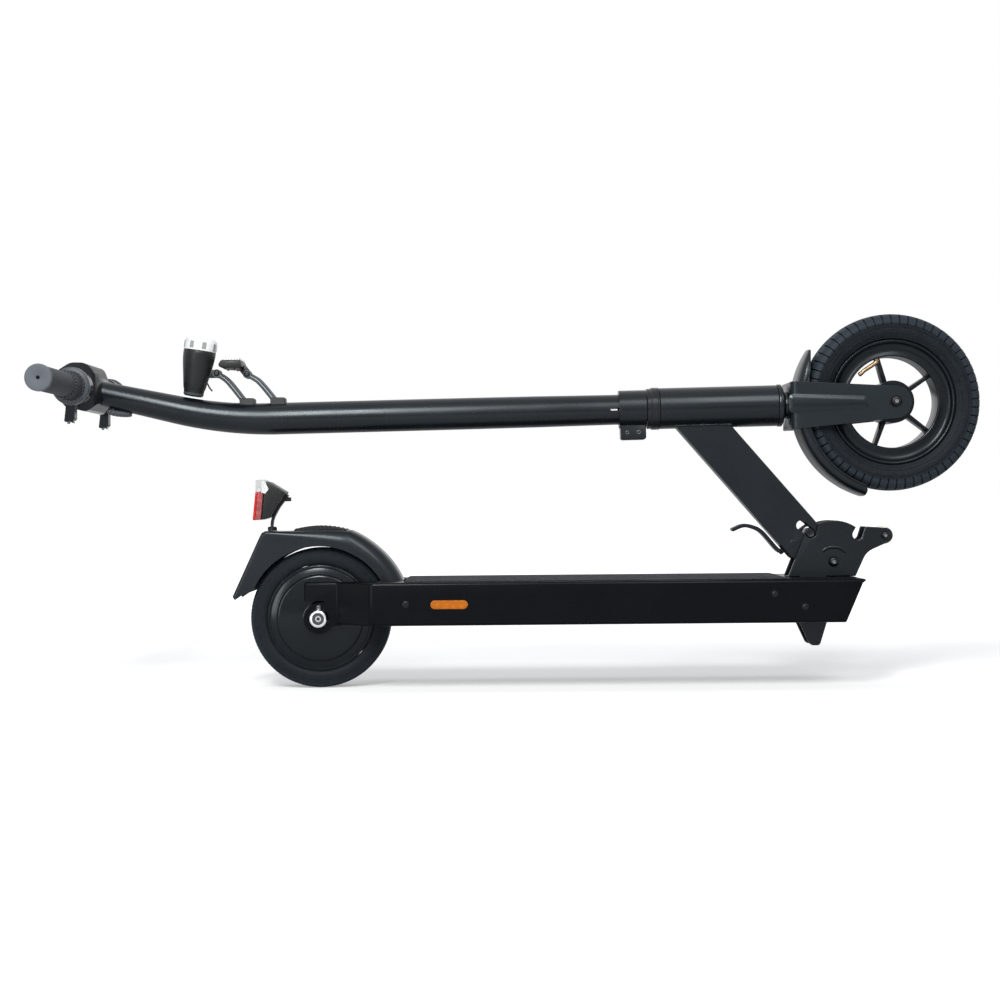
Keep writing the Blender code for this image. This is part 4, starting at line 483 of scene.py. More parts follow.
class Piece:
    """One piece in the making, in the frame of the part that carries it."""

    def __init__(self, frame_of=None):
        self.mesh = bmesh.new()
        self.frame = frame_of or Matrix()
        self.looks = []

    def move(self, place):
        bmesh.ops.transform(self.mesh, matrix=place, verts=self.mesh.verts)

    def paint(self, face, name):
        if name not in self.looks:
            self.looks.append(name)
        face.material_index = self.looks.index(name)

    def take(self, part, names):
        """Adds a shell whose faces number their finishes in the order of the names, and frees it."""
        spare = bpy.data.meshes.new("spare")
        part.to_mesh(spare)
        part.free()
        before = len(self.mesh.faces)
        self.mesh.from_mesh(spare)
        bpy.data.meshes.remove(spare)
        self.mesh.faces.ensure_lookup_table()
        for i in range(before, len(self.mesh.faces)):
            self.paint(self.mesh.faces[i], names[self.mesh.faces[i].material_index])

    def absorb(self, part, place, name):
        """Cleans a shell of one finish, puts it in its place and adds it to the piece."""
        bmesh.ops.remove_doubles(part, verts=part.verts, dist=1e-6)
        bmesh.ops.recalc_face_normals(part, faces=part.faces)
        bmesh.ops.transform(part, matrix=place, verts=part.verts)
        for face in part.faces:
            face.material_index = 0
        self.take(part, [name])

    def lathe(self, profile, name, axis="Y", at=(0, 0, 0), steps=64, closed=False, turn=None,
              shape=None):
        """Spins (radius, height) points about an axis."""
        part = bmesh.new()
        along = AXES[axis]
        out = AXES["X"] if axis != "X" else AXES["Z"]
        verts = [part.verts.new(out * r + along * h) for r, h in profile]
        edges = [part.edges.new(pair) for pair in zip(verts, verts[1:])]
        if closed:
            edges.append(part.edges.new((verts[-1], verts[0])))
        bmesh.ops.spin(part, geom=verts + edges, cent=(0, 0, 0), axis=along, dvec=(0, 0, 0),
                       angle=2 * pi, steps=steps, use_merge=True, use_duplicate=False)
        bmesh.ops.remove_doubles(part, verts=part.verts, dist=1e-6)
        if shape:
            shape(part)
        self.absorb(part, Matrix.Translation(at) @ (turn or Matrix()), name)
        return self

    def rod(self, radius, half, name, steps):
        """A plain shank across the middle plane."""
        return self.lathe([(0, half), (radius, half), (radius, -half), (0, -half)], name, steps=steps)

    def slab(self, outline, low, high, name, plane="XZ", bevel=0.0, segments=3, at=(0, 0, 0),
             turn=None, corner=40):
        """Gives a flat outline thickness, and rounds its sharp edges."""
        part = bmesh.new()
        lay = {"XZ": Matrix.Rotation(pi / 2, 4, "X"), "XY": Matrix(),
               "YZ": Matrix.Rotation(pi / 2, 4, "Z") @ Matrix.Rotation(pi / 2, 4, "X")}[plane]
        rise = {"XZ": -1.0, "XY": 1.0, "YZ": 1.0}[plane]
        verts = [part.verts.new((x, z, low * rise)) for x, z in outline]
        face = part.faces.new(verts)
        grown = bmesh.ops.extrude_face_region(part, geom=[face])["geom"]
        bmesh.ops.translate(part, vec=(0, 0, (high - low) * rise),
                            verts=[v for v in grown if isinstance(v, bmesh.types.BMVert)])
        if not [f for f in part.faces if len(f.verts) == len(outline) and f is not face and f.is_valid]:
            part.faces.new(verts)
        bmesh.ops.recalc_face_normals(part, faces=part.faces)
        if bevel:
            sharp = [e for e in part.edges if e.is_manifold and e.calc_face_angle() > radians(corner)]
            bmesh.ops.bevel(part, geom=sharp, offset=bevel, offset_type="OFFSET", segments=segments,
                            profile=0.5, affect="EDGES", clamp_overlap=True, material=-1)
        self.absorb(part, Matrix.Translation(at) @ (turn or Matrix()) @ lay, name)
        return self

    def tube(self, path, radii, name, sides=24, flat=1.0):
        """Joins rings along a path of 3D points; flat squeezes them in Y."""
        part = bmesh.new()
        path = [Vector(p) for p in path]
        before = None
        for i, point in enumerate(path):
            ahead = (path[min(i + 1, len(path) - 1)] - path[max(i - 1, 0)]).normalized()
            side = AXES["Y"] if abs(ahead.y) < 0.9 else AXES["X"]
            up = ahead.cross(side).normalized()
            side = up.cross(ahead).normalized()
            lay = Matrix((side * flat, up, ahead)).transposed().to_4x4()
            lay.translation = point
            ring = bmesh.ops.create_circle(part, cap_ends=False, radius=radii[i], segments=sides,
                                           matrix=lay)["verts"]
            loop = list({e for v in ring for e in v.link_edges})
            if before:
                bmesh.ops.bridge_loops(part, edges=before + loop)
            before = loop
        ends = [e for e in part.edges if e.is_boundary]
        bmesh.ops.holes_fill(part, edges=ends, sides=0)
        self.absorb(part, Matrix(), name)
        return self

    def copy_of(self, node, name):
        """Takes a merged copy of a CAD node's mesh."""
        part = bmesh.new()
        part.from_mesh(frame["nodes"][node].data)
        bmesh.ops.remove_doubles(part, verts=part.verts, dist=2e-6)
        bmesh.ops.dissolve_limit(part, angle_limit=radians(0.4), verts=part.verts, edges=part.edges)
        self.absorb(part, self.frame.inverted(), name)
        return self

    def carve(self, tool):
        """Cuts another piece out of this one."""
        whole, cutter = self.placed("whole"), tool.placed("cutter")
        step = whole.modifiers.new("cut", "BOOLEAN")
        step.operation = "DIFFERENCE"
        step.solver = "EXACT"
        step.object = cutter
        step.material_mode = "TRANSFER"
        mesh = bpy.data.meshes.new_from_object(whole.evaluated_get(bpy.context.evaluated_depsgraph_get()))
        part = bmesh.new()
        part.from_mesh(mesh)
        self.mesh = bmesh.new()
        self.take(part, [m.name[:-len("_finish")] for m in mesh.materials])
        for data in (whole.data, cutter.data, mesh):
            bpy.data.meshes.remove(data)
        return self

    def placed(self, name):
        """An object in the scene of the piece as it stands, with its finishes."""
        mesh = bpy.data.meshes.new(name)
        self.mesh.to_mesh(mesh)
        self.mesh.free()
        for used in self.looks:
            mesh.materials.append(look(used))
        made = bpy.data.objects.new(name, mesh)
        bpy.context.scene.collection.objects.link(made)
        return made

    def finish(self, name, body, *nodes, soften=0.0, angle=35):
        """Makes the object, with its place in its mesh, parents it to its body's empty, and hides the CAD nodes
        that it stands for.
        """
        self.move(self.frame)
        made = self.placed(name)
        made.data.polygons.foreach_set("use_smooth", [True] * len(made.data.polygons))
        made.data.set_sharp_from_angle(angle=radians(angle))
        if soften:
            step = made.modifiers.new("soft_edges", "BEVEL")
            step.width = soften
            step.segments = 2
            step.limit_method = "ANGLE"
            step.angle_limit = radians(40)
            step.harden_normals = True
        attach(made, body)
        if nodes:
            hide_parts(*nodes)

    def stand_for(self, node, soften=0.0, angle=35):
        """Makes the object that takes the place of one CAD node."""
        self.finish(node + "_fine", BODY_OF[node], node, soften=soften, angle=angle)


def smoothed(node, name, soften=0.0, angle=35):
    """A CAD node's own shape with merged faces, smooth shading and rounded edges."""
    Piece().copy_of(node, name).stand_for(node, soften, angle)


def socket_screw(piece, at, out, radius, height, name, core="dark_steel", key=0.5):
    """A low button head on a face that looks along Y by out, with a six-sided socket."""
    head = Piece()
    head.lathe([(0, -0.0004), (radius, -0.0004), (radius, 0.25 * height), (0.93 * radius, 0.55 * height),
                (0.76 * radius, 0.86 * height), (0.58 * radius, height), (0, height)], name, steps=32)
    hole = Piece().lathe([(0, 0.25 * height), (key * radius, 0.25 * height),
                          (key * radius, height * 1.5), (0, height * 1.5)], core, steps=6)
    head.carve(hole)
    bmesh.ops.recalc_face_normals(head.mesh, faces=head.mesh.faces)
    head.move(Matrix.Translation(at) @ facing(out))
    piece.take(head.mesh, head.looks)


# Operators, one for each group of pieces

class SCOOTER_OT_deck(bpy.types.Operator):
    """Deck frame, cover, grip tape, side reflectors, screws and charge port"""
    bl_idname = "scooter.deck"
    bl_label = "Deck"

    def execute(self, context):
        sizes = context.scene.scooter_sizes
        self.rails(sizes.edge_round)
        smoothed("deck_bottom_cover", DECK_PAINT, sizes.edge_round)
        smoothed("hinge_base", "dark_steel", sizes.edge_round)
        smoothed("battery_pack", "battery_wrap")
        smoothed("motor_controller", "dark_steel", 0.0003)
        self.tape()
        for side, sign in SIDES:
            self.side_reflector(side, sign)
        self.port()
        self.screws(sizes.screw_radius)
        return {"FINISHED"}

    def rails(self, edge_round):
        """The CAD shape with its long outer edges rolled."""
        half_width, roll, shortest = 0.077, 0.0028, 0.03
        deck = Piece().copy_of("deck_frame", DECK_PAINT)
        long = [e for e in deck.mesh.edges
                if all(abs(abs(v.co.y) - half_width) < 0.0002 for v in e.verts)
                and abs(e.verts[0].co.x - e.verts[1].co.x) > shortest
                and abs(e.verts[0].co.z - e.verts[1].co.z) < 0.02 and e.calc_face_angle(0.0) > radians(40)]
        bmesh.ops.bevel(deck.mesh, geom=long, offset=roll, offset_type="OFFSET", segments=4, profile=0.5,
                        affect="EDGES", clamp_overlap=True, material=-1)
        deck.stand_for("deck_frame", edge_round, angle=30)

    def tape(self):
        rear, front, half, corner = 0.1024, 0.513, 0.065, 0.006
        corners = ((front, -half, -90), (front, half, 0), (rear, half, 90), (rear, -half, 180))
        outline = [point for x, y, first in corners for point in arc((x, y), corner, first, first + 90, 6)]
        Piece(GROUND).slab(outline, 0.1203, 0.1213, "grip_tape", "XY", 0.0003, 1).stand_for("grip_tape")

    def port(self):
        x, z, tab_rise = 0.30, 0.096, 0.0070
        port = Piece(GROUND)
        port.lathe(mm(0, 64.3, 7.5, 64.3, 7.5, 77.3, 10.5, 77.3, 10.5, 78.6, 10.2, 79.3, 9.4, 79.7,
                      6, 79.8, 5.6, 79.3, 0, 79.3),
                   "black_rubber", at=(x, 0, z), steps=48)
        port.slab(arc((0, 0), 0.0036, 0, 360, 20)[:-1], 0.0790, 0.0798, "black_rubber", bevel=0.0004,
                  at=(x, 0, z + tab_rise))
        port.stand_for("charge_port")

    def screws(self, radius):
        face = 0.0771
        screws = Piece(GROUND)
        for sign in (-1, 1):
            for x, z in ((0.5025, 0.1040), (0.5358, 0.0898)):
                screws.lathe([(radius + 0.0012, 0.0768), (radius + 0.0012, face), (radius + 0.0006, 0.0773),
                              (0, 0.0773)], DECK_PAINT, at=(x, 0, z), steps=32, turn=facing(sign))
                socket_screw(screws, (x, sign * face, z), sign, radius, 0.0014, RIM_PAINT, SCREW)
        screws.finish("deck_screws", "deck")
        bolt = Piece(FENDER)
        bolt.rod(0.003, 0.0772, SCREW, 24)
        for sign in (-1, 1):
            socket_screw(bolt, (0, sign * 0.0773, 0), sign, 0.0046, 0.0020, RIM_PAINT, SCREW, 0.35)
        bolt.stand_for("fender_pivot_bolt")

    def side_reflector(self, side, sign):
        """A lens with half round ends, and a step on it."""
        place, reach, radius = (0.1467, 0, 0.0957), 0.0157, 0.0048
        lens = Piece(GROUND)
        for inset, near, far, bevel, segments in ((0, 0.0773, 0.0788, 0.0006, 3),
                                                  (0.0012, 0.0780, 0.0790, 0.0002, 1)):
            outline = [point for end, first in ((reach, -90), (-reach, 90))
                       for point in arc((end, 0), radius - inset, first, first + 180, 12)]
            lens.slab(outline, *span(sign, near, far), "amber_reflector", bevel=bevel, at=place,
                      segments=segments)
        lens.stand_for("side_reflector_" + side)


class SCOOTER_OT_hinge(bpy.types.Operator):
    """Cheek plates of the fold hinge, its bolts and the stop roller"""
    bl_idname = "scooter.hinge"
    bl_label = "Fold hinge"

    def execute(self, context):
        for node in ("cheek_plate_right", "cheek_plate_left"):
            smoothed(node, PAINT, 0.0005, 30)
        marks = Piece(HINGE)
        face = 0.0173
        curve = smooth(mm(-12.7, 11.3, -7, 15.2, 0.8, 16.3, 8.6, 14.8, 14.3, 9.9), 5)
        for sign in (-1, 1):
            marks.tube([(x, sign * face, z) for x, z in curve],
                       [0.0010] + [0.0019] * (len(curve) - 2) + [0.0010], PAINT, 14, 0.6)
        marks.finish("cheek_marks", "deck")
        bolt = Piece(HINGE)
        bolt.rod(0.004, face, SCREW, 32)
        bolt.lathe(mm(0, 0, 6.4, 0, 6.6, 4, 5.8, 4.7, 0, 4.7, face=face), SCREW, steps=6)
        socket_screw(bolt, (0, -face, 0), -1, 0.0058, 0.0043, SCREW, "socket_steel", 0.42)
        bolt.stand_for("fold_pivot_bolt")
        axle = Piece(ROLLER)
        axle.rod(0.003, face, SCREW, 24)
        for sign in (-1, 1):
            socket_screw(axle, (0, sign * face, 0), sign, 0.0047, 0.0027, SCREW, "socket_steel", 0.42)
        axle.stand_for("roller_bolt")
        roller = Piece(ROLLER)
        half = 0.0120
        rim = mm(3.4, 0, 5, 0, 5.2, -0.6, 7, -0.6, 7.4, 0, 9, 0, 9.7, -0.4, 10, -1.2, face=half)
        roller.lathe(mirrored(rim), "pale_nylon", closed=True)
        roller.stand_for("stop_roller")
        return {"FINISHED"}


class SCOOTER_OT_neck(bpy.types.Operator):
    """Neck arm, head tube, headset cups, release lever and lock pin"""
    bl_idname = "scooter.neck"
    bl_label = "Neck"

    def execute(self, context):
        smoothed("neck_arm", PAINT, 0.0003, 30)
        smoothed("release_lever", PAINT, 0.0004, 30)
        self.weld()
        low, high = -0.12805, -0.26175
        tube = Piece(STEER)
        tube.lathe([(0.0177, high), (0.0227, high), (0.0232, high + 0.0005), (0.0232, low - 0.0005),
                    (0.0227, low), (0.0177, low)], PAINT, "X", steps=96, closed=True)
        tube.stand_for("head_tube")
        top = high - 0.0003
        cup = Piece(STEER)
        cup.lathe(mm(14.4, 11.8, 17.4, 11.8, 17.4, 0, 23.2, 0, 23.8, -0.3, 24, -0.9, 24, -1.6, 23.4, -1.9,
                     23.4, -2.4, 23.9, -2.7, 23.9, -8.6, 23.3, -9.2, 22.8, -9.5, 22.8, -13.5, 22.3, -14,
                     14.4, -14, face=top),
                  GLOSS, "X", steps=72, closed=True)
        cup.stand_for("headset_cup_upper")
        face = low + 0.0003
        cup = Piece(STEER)
        cup.lathe(mm(14.4, 6, 20.8, 6, 21.2, 4.8, 23.4, 4.6, 24, 4, 24, 0.6, 23.6, 0, 17.4, 0, 17.4, -11.8,
                     14.4, -11.8, face=face),
                  GLOSS, "X", steps=72, closed=True)
        cup.stand_for("headset_cup_lower")
        pin = Piece(HINGE)
        half = 0.0121
        pin.lathe([(0, half), (0.0044, half), (0.0050, half - 0.0003), (0.0055, half - 0.0009),
                   (0.0055, -half + 0.0009), (0.0050, -half + 0.0003), (0.0044, -half),
                   (0.0041, -half + 0.0002), (0, -half + 0.0002)], SCREW, at=(-0.0250, 0, 0.0324), steps=40)
        pin.stand_for("lock_pin")
        rivet = Piece(LEVER)
        for sign in (-1, 1):
            rivet.lathe(mm(2.2, 12.1, 2.6, 12.3, 3.4, 12.3, 3.8, 12.1, 3.8, 11.5, 2.2, 11.5), PAINT,
                        steps=32, closed=True, turn=facing(sign))
        rivet.finish("rivet_rings", "neck")
        return {"FINISHED"}

    def weld(self):
        """A bead where each side of the arm meets the head tube."""
        drop = -0.0203  # the arm's top face, under the tube's axis
        seam = [STEER.inverted() @ v.co for v in frame["nodes"]["neck_arm"].data.vertices]
        seam = [p.x for p in seam if abs(p.z - drop) < 0.0015]
        low, high = min(seam), max(seam)
        bead = Piece(STEER)
        steps, ripple = 60, 0.0004
        for side in (-0.0122, 0.0122):
            path = [(low + (high - low) * k / steps, side, drop + ripple * sin(k * 1.9))
                    for k in range(steps + 1)]
            bead.tube(path, [0.0013 + 0.00025 * sin(k * 2.3) for k in range(steps + 1)], PAINT, 12)
        bead.finish("weld_beads", "neck")


class SCOOTER_OT_fork(bpy.types.Operator):
    """Fork with its ribs and the axle bolt"""
    bl_idname = "scooter.fork"
    bl_label = "Fork"

    def execute(self, context):
        face = 0.0345  # of the legs, which the CAD's raised panels stand out from
        fork = Piece(STEER).copy_of("fork", "fork_black_paint")
        for v in fork.mesh.verts:
            v.co.y = max(-face, min(face, v.co.y))
        bmesh.ops.remove_doubles(fork.mesh, verts=fork.mesh.verts, dist=2e-5)
        bmesh.ops.dissolve_limit(fork.mesh, angle_limit=radians(0.5), verts=fork.mesh.verts,
                                 edges=fork.mesh.edges)
        bmesh.ops.recalc_face_normals(fork.mesh, faces=fork.mesh.faces)
        fork.stand_for("fork", angle=28)
        ribs = Piece(STEER)
        outline = rounded([(-0.1196, 0.0114, 0.0060), (-0.0302, 0.0065, 0.0056), (-0.0302, -0.0082, 0.0060),
                           (-0.1196, -0.0108, 0.0060)])
        for sign in (-1, 1):
            ribs.slab(outline, *span(sign, face - 0.0006, face + 0.0001), "fork_black_paint")
        ribs.mesh.normal_update()
        for sign in (-1, 1):
            top = [f for f in ribs.mesh.faces
                   if f.normal.y * sign > 0.9 and f.calc_center_median().y * sign > face]
            for run, rise in ((0.0024, 0.0010), (0.0020, 0.0007)):
                bmesh.ops.inset_region(ribs.mesh, faces=top, thickness=run, depth=rise, use_even_offset=True)
        ribs.finish("fork_ribs", "steering")
        bolt = Piece(STEER)
        face += 0.0003
        bolt.rod(0.005, face, "dark_steel", 32)
        bolt.lathe(mm(0, 0, 6.6, 0, 7, 0.5, 7, 4.4, 6.4, 5, 0, 5, face=face), SCREW, steps=6)
        bolt.lathe(mm(0, 0, 6.9, 0, 6.9, -0.8, 6.4, -1.2, 0, -1.2, face=-face), SCREW, steps=48)
        socket_screw(bolt, (0, -face - 0.0011, 0), -1, 0.0062, 0.0037, SCREW, "socket_steel", 0.42)
        bolt.stand_for("front_axle")
        return {"FINISHED"}


class SCOOTER_OT_front_fender(bpy.types.Operator):
    """Front fender with its rolled lip and tapered tip"""
    bl_idname = "scooter.front_fender"
    bl_label = "Front fender"

    def execute(self, context):
        radius, steps, first, sweep = 0.111, 72, radians(146.1), radians(105.5)
        lip_drop, lip_half, tip_share, tail_share = 0.0118, 0.0283, 0.16, 0.035
        half = smooth([(radius, 0.0), (radius - 0.0002, 0.0100), (radius - 0.0010, 0.0185),
                       (radius - 0.0032, 0.0250), (radius - 0.0075, 0.0280),
                       (radius - lip_drop, lip_half)], 4)
        part = bmesh.new()
        profile = [(r, -a) for r, a in half[:0:-1]] + half
        verts = [part.verts.new((r * cos(first), a, r * sin(first))) for r, a in profile]
        edges = [part.edges.new(pair) for pair in zip(verts, verts[1:])]
        bmesh.ops.spin(part, geom=verts + edges, cent=(0, 0, 0), axis=(0, 1, 0), dvec=(0, 0, 0),
                       angle=-sweep, steps=steps, use_merge=False, use_duplicate=False)

        def shallower(share):
            """How much of its depth the fender loses where it ends behind the wheel."""
            return 0.35 * max(0.0, (share - 1.0 + tail_share) / tail_share) ** 2

        for v in part.verts:
            share = (atan2(v.co.z, v.co.x) % (2 * pi) - first) / sweep
            tip = max(0.0, 1.0 - share / tip_share)
            deep = 1.0 - 0.80 * tip ** 1.6 - shallower(share)
            reach = hypot(v.co.x, v.co.z)
            wanted = radius - (radius - reach) * deep
            v.co.x *= wanted / reach
            v.co.z *= wanted / reach
            v.co.y *= 1.0 - 0.45 * tip ** 2
        bmesh.ops.recalc_face_normals(part, faces=part.faces)
        bmesh.ops.solidify(part, geom=part.faces, thickness=0.0015)
        piece = Piece(STEER)
        piece.absorb(part, Matrix(), PAINT)
        count = 40
        for sign in (-1, 1):
            path = []
            for k in range(count + 1):
                share = tip_share + (0.99 - tip_share) * k / count
                turn = first + sweep * share
                reach = radius - lip_drop * (1.0 - shallower(share))
                path.append((reach * cos(turn), sign * lip_half, reach * sin(turn)))
            piece.tube(path, [0.0004] + [0.0013] * (count - 1) + [0.0006], PAINT, 12)
        piece.stand_for("front_fender")
        return {"FINISHED"}


class SCOOTER_OT_front_wheel(bpy.types.Operator):
    """Front tyre with its tread, cast rim and valve"""
    bl_idname = "scooter.front_wheel"
    bl_label = "Front wheel"

    def execute(self, context):
        self.tyre(context.scene.scooter_sizes)
        self.rim()
        valve = Piece(STEER)
        inward = Vector((0.3144, 0, -0.9493))
        root = Vector((0, -0.0112, 0)) - inward * 0.0570
        bends = [inward * 0.0045, inward * 0.0075, inward * 0.0092 + Vector((-0.0022, 0, -0.0010)),
                 Vector((-0.0120, 0, -0.0178)), Vector((-0.0146, 0, -0.0203))]
        path = smooth([root] + [root + b for b in bends], 5)
        valve.tube(path, [0.0031 - 0.0010 * k / (len(path) - 1) for k in range(len(path))], "brass", 20)
        tip = root + Vector((-0.0146, 0, -0.0203))
        out = Vector((-0.78, 0, -0.50)).normalized()
        valve.tube([tip - out * 0.0020, tip + out * 0.0002, tip + out * 0.0003, tip + out * 0.0036,
                    tip + out * 0.0042], [0.0021, 0.0021, 0.0025, 0.0025, 0.0018], "brass", 20)
        valve.tube([root + inward * 0.0018, root + inward * 0.0019, root + inward * 0.0036,
                    root + inward * 0.0037], [0.0026, 0.0037, 0.0037, 0.0026], "brass", 6)
        valve.stand_for("valve_stem")
        return {"FINISHED"}

    def tyre(self, sizes):
        wall = smooth(mm(72.8, 20.6, 75, 22.2, 76.6, 22.9), 3)
        wall += mm(76.8, 23.4, 77.3, 23.6, 77.7, 23.3)
        wall += smooth(mm(79, 23.6, 81.2, 24.1, 83.8, 24.3), 3)
        wall += mm(84, 24.8, 84.6, 24.9, 85, 24.3, 86.8, 24.2)
        tread = mm(87.1, 24.3, 87.4, 24.8, 88.8, 24.8, 90.5, 24.5, 92.2, 23.9, 93.8, 23, 95.2, 21.8,
                   96.4, 20.4, 97.4, 18.7, 98.2, 16.7, 98.8, 14.4, 99.2, 12, 99.2, 11.2, 97.8, 10.8,
                   97.8, 9.8, 99.5, 9.4, 99.8, 6, 99.8, 3.4, 98.2, 3, 98.2, 2, 100, 1.6, 100, 0)
        half = mm(65.8, 15.8, 69, 16.1, 70.4, 17, 71, 18.8, 71.8, 20.2)
        cells, wall_top = 6, 0.0873  # faces round the tyre for each block, and where its blocks start

        def blocks(part):
            gaps = []
            for face in part.faces:
                middle = face.calc_center_median()
                turn = (atan2(middle.z, middle.x) / (2 * pi)) * sizes.tread_blocks
                shoulder = hypot(middle.x, middle.z) > wall_top and abs(middle.y) > 0.0114
                if shoulder and turn % 1.0 < 1.0 / cells:
                    gaps.append(face)
                elif 0.0036 < abs(middle.y) < 0.0092 and (turn + 0.5) % 1.0 < 1.0 / cells:
                    gaps.append(face)
            grown = bmesh.ops.extrude_face_region(part, geom=gaps)["geom"]
            bmesh.ops.delete(part, geom=gaps, context="FACES")
            part.normal_update()
            sunk = [v for v in grown if isinstance(v, bmesh.types.BMVert)]
            moves = [v.normal.copy() for v in sunk]
            for vert, normal in zip(sunk, moves):
                vert.co -= normal * sizes.tread_depth

        tyre = Piece(STEER)
        tyre.lathe(mirrored(half + wall + tread), "tyre_rubber", steps=sizes.tread_blocks * cells,
                   closed=True, shape=blocks)
        tyre.stand_for("front_tyre", angle=32)

    def rim(self):
        half = mm(51.5, 0) + smooth(mm(51.5, 14, 51.8, 15.2, 52.8, 15.8), 3)
        half += smooth(mm(54, 15.6, 57, 14.8, 60.5, 14.8, 63.5, 15.6, 65.6, 17, 66.6, 18.4), 4)
        half += smooth(mm(67.2, 19.2, 68.4, 19.9, 69.4, 19.9, 70, 19.2, 69.9, 18), 3)
        half += mm(66, 16.6, 64.8, 12, 59.2, 8)
        rim = Piece(STEER)
        rim.lathe(half[:0:-1] + [(r, -a) for r, a in half], RIM_PAINT, steps=128, closed=True)
        hub = mm(5.4, 28.8, 9.2, 28.8, 9.7, 28.3, 10.5, 22.8, 12.8, 22.2, 13.4, 21.4, 15, 21.1, 21.8, 21.1,
                 22.2, 20.5, 23.2, 20.5, 23.9, 19.9, 24, 18.8)
        rim.lathe(mirrored(hub), RIM_PAINT, steps=80, closed=True)
        for k in range(5):
            rim.slab(mm(21.2, -2.7, 53, -2.1, 53, 2.1, 21.2, 2.7),
                     -0.0080, 0.0080, RIM_PAINT, bevel=0.0013, segments=4,
                     turn=Matrix.Rotation(-radians(33 + 72 * k), 4, "Y"))
        rim.stand_for("front_rim")


class SCOOTER_OT_stem(bpy.types.Operator):
    """Bent stem tube with its slit, and the clamp with two bolts"""
    bl_idname = "scooter.stem"
    bl_label = "Stem"

    def execute(self, context):
        bend, angle, setback, above = -0.7540, radians(13.5), 0.055, 0.1561
        thick, drawn, ring = 0.0180, 0.00198, 24
        path = mm(-277.65, 0, -317.4, 0, -317.5, 0, -400, 0, -470, 0, -550, 0, -620, 0)
        radii = [0.0170, 0.0170, 0.0170, 0.0177, 0.0179, thick, thick]
        round_radius = setback / tan(angle / 2)
        for k in range(ring + 1):
            turn = angle * k / ring
            path.append((bend + setback - round_radius * sin(turn), round_radius * (1 - cos(turn))))
            radii.append(thick - drawn * k / ring)
        path.append((bend - above * cos(angle), above * sin(angle)))
        radii.append(0.0136)
        stem = Piece(STEER)
        stem.tube([(s, 0, n) for s, n in path], radii, PAINT, 72)
        slit = Piece().slab(arc((-0.31615, 0), 0.0015, 90, 270, 12) + [(-0.25, -0.0015), (-0.25, 0.0015)],
                            -0.05, 0.05, PAINT)
        stem.carve(slit)
        stem.stand_for("stem_tube")
        smoothed("stem_clamp", PAINT, 0.0003, 30)
        bolts = Piece(STEER)
        head = mm(1.3, 10.8, 1.3, 11.3, 1.7, 11.5, 2.2, 11.4, 2.3, 10.8)
        socket = mm(0, 11.2, 1.4, 11.2, 1.4, 10.8, 0, 10.8)
        nut = mm(0, 10.8, 2.4, 10.8, 2.6, 11.2, 2.6, 12.8, 0, 13)
        for s in (-0.2989, -0.2859):
            place = (s, 0, -0.0265)
            bolts.lathe(head, "dark_steel", at=place, closed=True, steps=28, turn=facing(-1))
            bolts.lathe(socket, SCREW, at=place, steps=6, turn=facing(-1))
            bolts.lathe(nut, SCREW, at=place, steps=6)
        bolts.finish("clamp_bolts", "steering")
        return {"FINISHED"}


